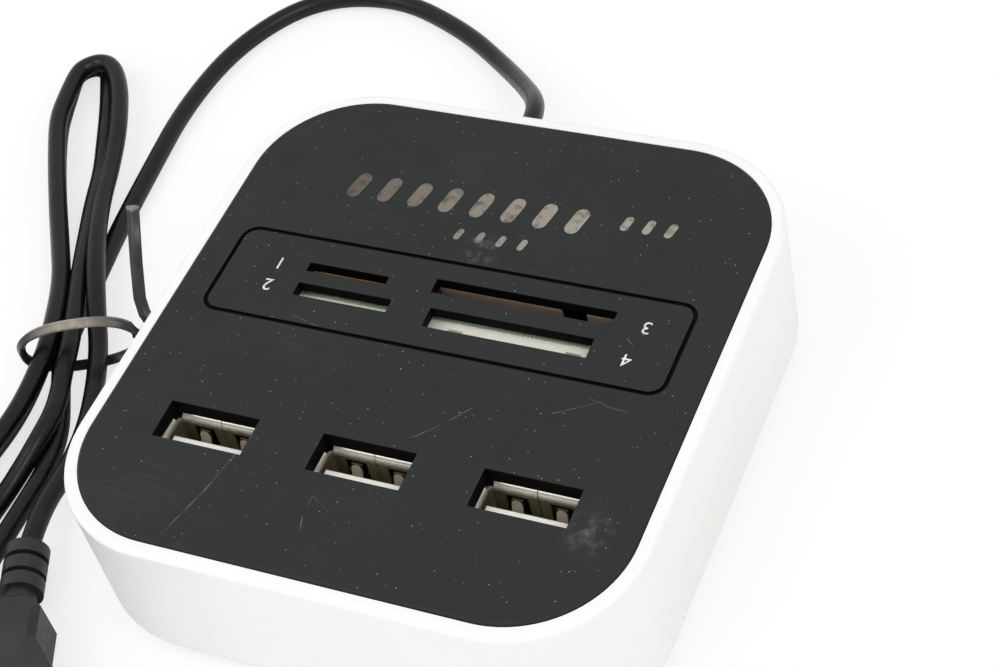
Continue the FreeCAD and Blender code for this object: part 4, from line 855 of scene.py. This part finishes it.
def add_cord(finish, tie):
    data = bpy.data.curves.new("cord", "CURVE")
    data.dimensions = "3D"
    data.bevel_depth = CORD_DIAMETER / 2
    data.bevel_resolution = 6
    data.resolution_u = 8
    data.materials.append(finish)
    route = cord_route()
    spline = data.splines.new("NURBS")
    spline.points.add(len(route) - 1)
    for point, place in zip(spline.points, route):
        point.co = (*place, 1.0)
    spline.order_u = 3
    spline.use_endpoint_u = True
    cord = add_object("cord", data)
    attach(cord, "root")
    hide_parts("cord_lead", "cord_hank", "cord_tail")


def dress(finish, *names):
    for name in names:
        for slot in NODES[name].material_slots:
            slot.material = finish


def dress_case():
    dress(case_plastic(), "case_shell")
    dress(plate_plastic(), "top_plate")
    dress(moulded("foot_rubber"), *[name for name in NODES if name.startswith("foot_")])
    dress(metal("screw_steel"), "case_screws")


def dress_boards():
    for board, (letter, depth) in BOARD_EDGES.items():
        edge_at = getattr(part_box(board)[1], letter.lower()) - depth
        dress(board_green(board + "_green", letter, edge_at), board)
    for chip in ("hub_chip", "reader_chip"):
        low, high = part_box(chip)
        lead_height = low.z + CHIP_LEAD_SHARE * (high.z - low.z)
        package = with_metal_below(chip + "_black", (0.014, 0.014, 0.015), (0.72, 0.72, 0.70), lead_height)
        dress(package, chip)
    dress(metal("crystal_can"), "hub_crystal", "reader_crystal")
    lead_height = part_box("supply_capacitor")[0].z + CAPACITOR_LEAD_HEIGHT
    sleeve = with_metal_below("capacitor_can", (0.02, 0.03, 0.08), grey(0.70), lead_height)
    dress(sleeve, "supply_capacitor")


def dress_sockets_and_plug():
    dress(connector_steel(), *[port + "shell" for port in PORTS])
    dress(metal("plug_steel"), "plug_shell")
    dress(moulded("connector_insulator"), "plug_insulator", *[port + "insulator" for port in PORTS])
    dress(metal("contact_gold"), "plug_contacts", *[socket + "contacts" for socket in PORTS + CARDS])
    dress(moulded("socket_pale"), "stick_card_frame", "short_card_frame")
    dress(moulded("socket_black"), "wide_card_frame", "small_card_frame")
    dress(metal("cover_steel"), "wide_card_cover", "stick_card_cover", "short_card_cover")
    dress(metal("cover_copper"), "small_card_cover")
    dress(moulded("plug_grip"), "plug_overmould")
    dress(moulded("gland_rubber"), "cable_gland")
    dress(wire_jacket(), "cable_wires")


def floor_white():
    """A pale floor that meets the eye near white and still takes the shadow."""
    material = bpy.data.materials.new("floor_white")
    material.use_nodes = True
    tree = material.node_tree
    shader = tree.nodes["Principled BSDF"]
    shader.inputs["Base Color"].default_value = (*grey(0.92), 1)
    shader.inputs["Roughness"].default_value = 0.7
    shader.inputs["Specular IOR Level"].default_value = 0.2
    glow = tree.nodes.new("ShaderNodeEmission")
    seen = tree.nodes.new("ShaderNodeLightPath")
    share = tree.nodes.new("ShaderNodeMath")
    share.operation = "MULTIPLY"
    share.inputs[1].default_value = FLOOR_GLOW
    both = tree.nodes.new("ShaderNodeMixShader")
    tree.links.new(seen.outputs["Is Camera Ray"], share.inputs[0])
    tree.links.new(share.outputs["Value"], both.inputs["Fac"])
    tree.links.new(shader.outputs["BSDF"], both.inputs[1])
    tree.links.new(glow.outputs["Emission"], both.inputs[2])
    tree.links.new(both.outputs["Shader"], tree.nodes["Material Output"].inputs["Surface"])
    return material


def add_stage():
    mesh = bpy.data.meshes.new("floor")
    corners = [(FLOOR_HALF * x, FLOOR_HALF * y, 0) for x, y in ((-1, -1), (1, -1), (1, 1), (-1, 1))]
    mesh.from_pydata(corners, [], [(0, 1, 2, 3)])
    mesh.materials.append(floor_white())
    add_object("floor", mesh)


def add_lamp(name, place, size, power):
    """A round soft lamp that looks at the middle of the table."""
    data = bpy.data.lights.new(name, "AREA")
    data.shape = "DISK"
    data.size = size
    data.energy = power
    lamp = add_object(name, data)
    lamp.location = place
    lamp.rotation_euler = (-Vector(place)).to_track_quat("-Z", "Y").to_euler()


def add_world():
    world = bpy.data.worlds.new("studio")
    world.use_nodes = True
    sky = world.node_tree.nodes["Background"]
    sky.inputs["Color"].default_value = (1, 1, 1, 1)
    sky.inputs["Strength"].default_value = WORLD_STRENGTH
    bpy.context.scene.world = world


add_camera()
add_cord(cord_jacket(), add_tie(tie_plastic()))
dress_case()
dress_boards()
dress_sockets_and_plug()
add_numerals(moulded("print_ink"))
add_foil_bars(foil())
add_dust(moulded("dust"))
add_stage()
add_world()
for lamp_name, (lamp_place, lamp_size, lamp_power) in LAMPS.items():
    add_lamp(lamp_name, lamp_place, lamp_size, lamp_power)
bpy.context.scene.view_settings.view_transform = "Standard"
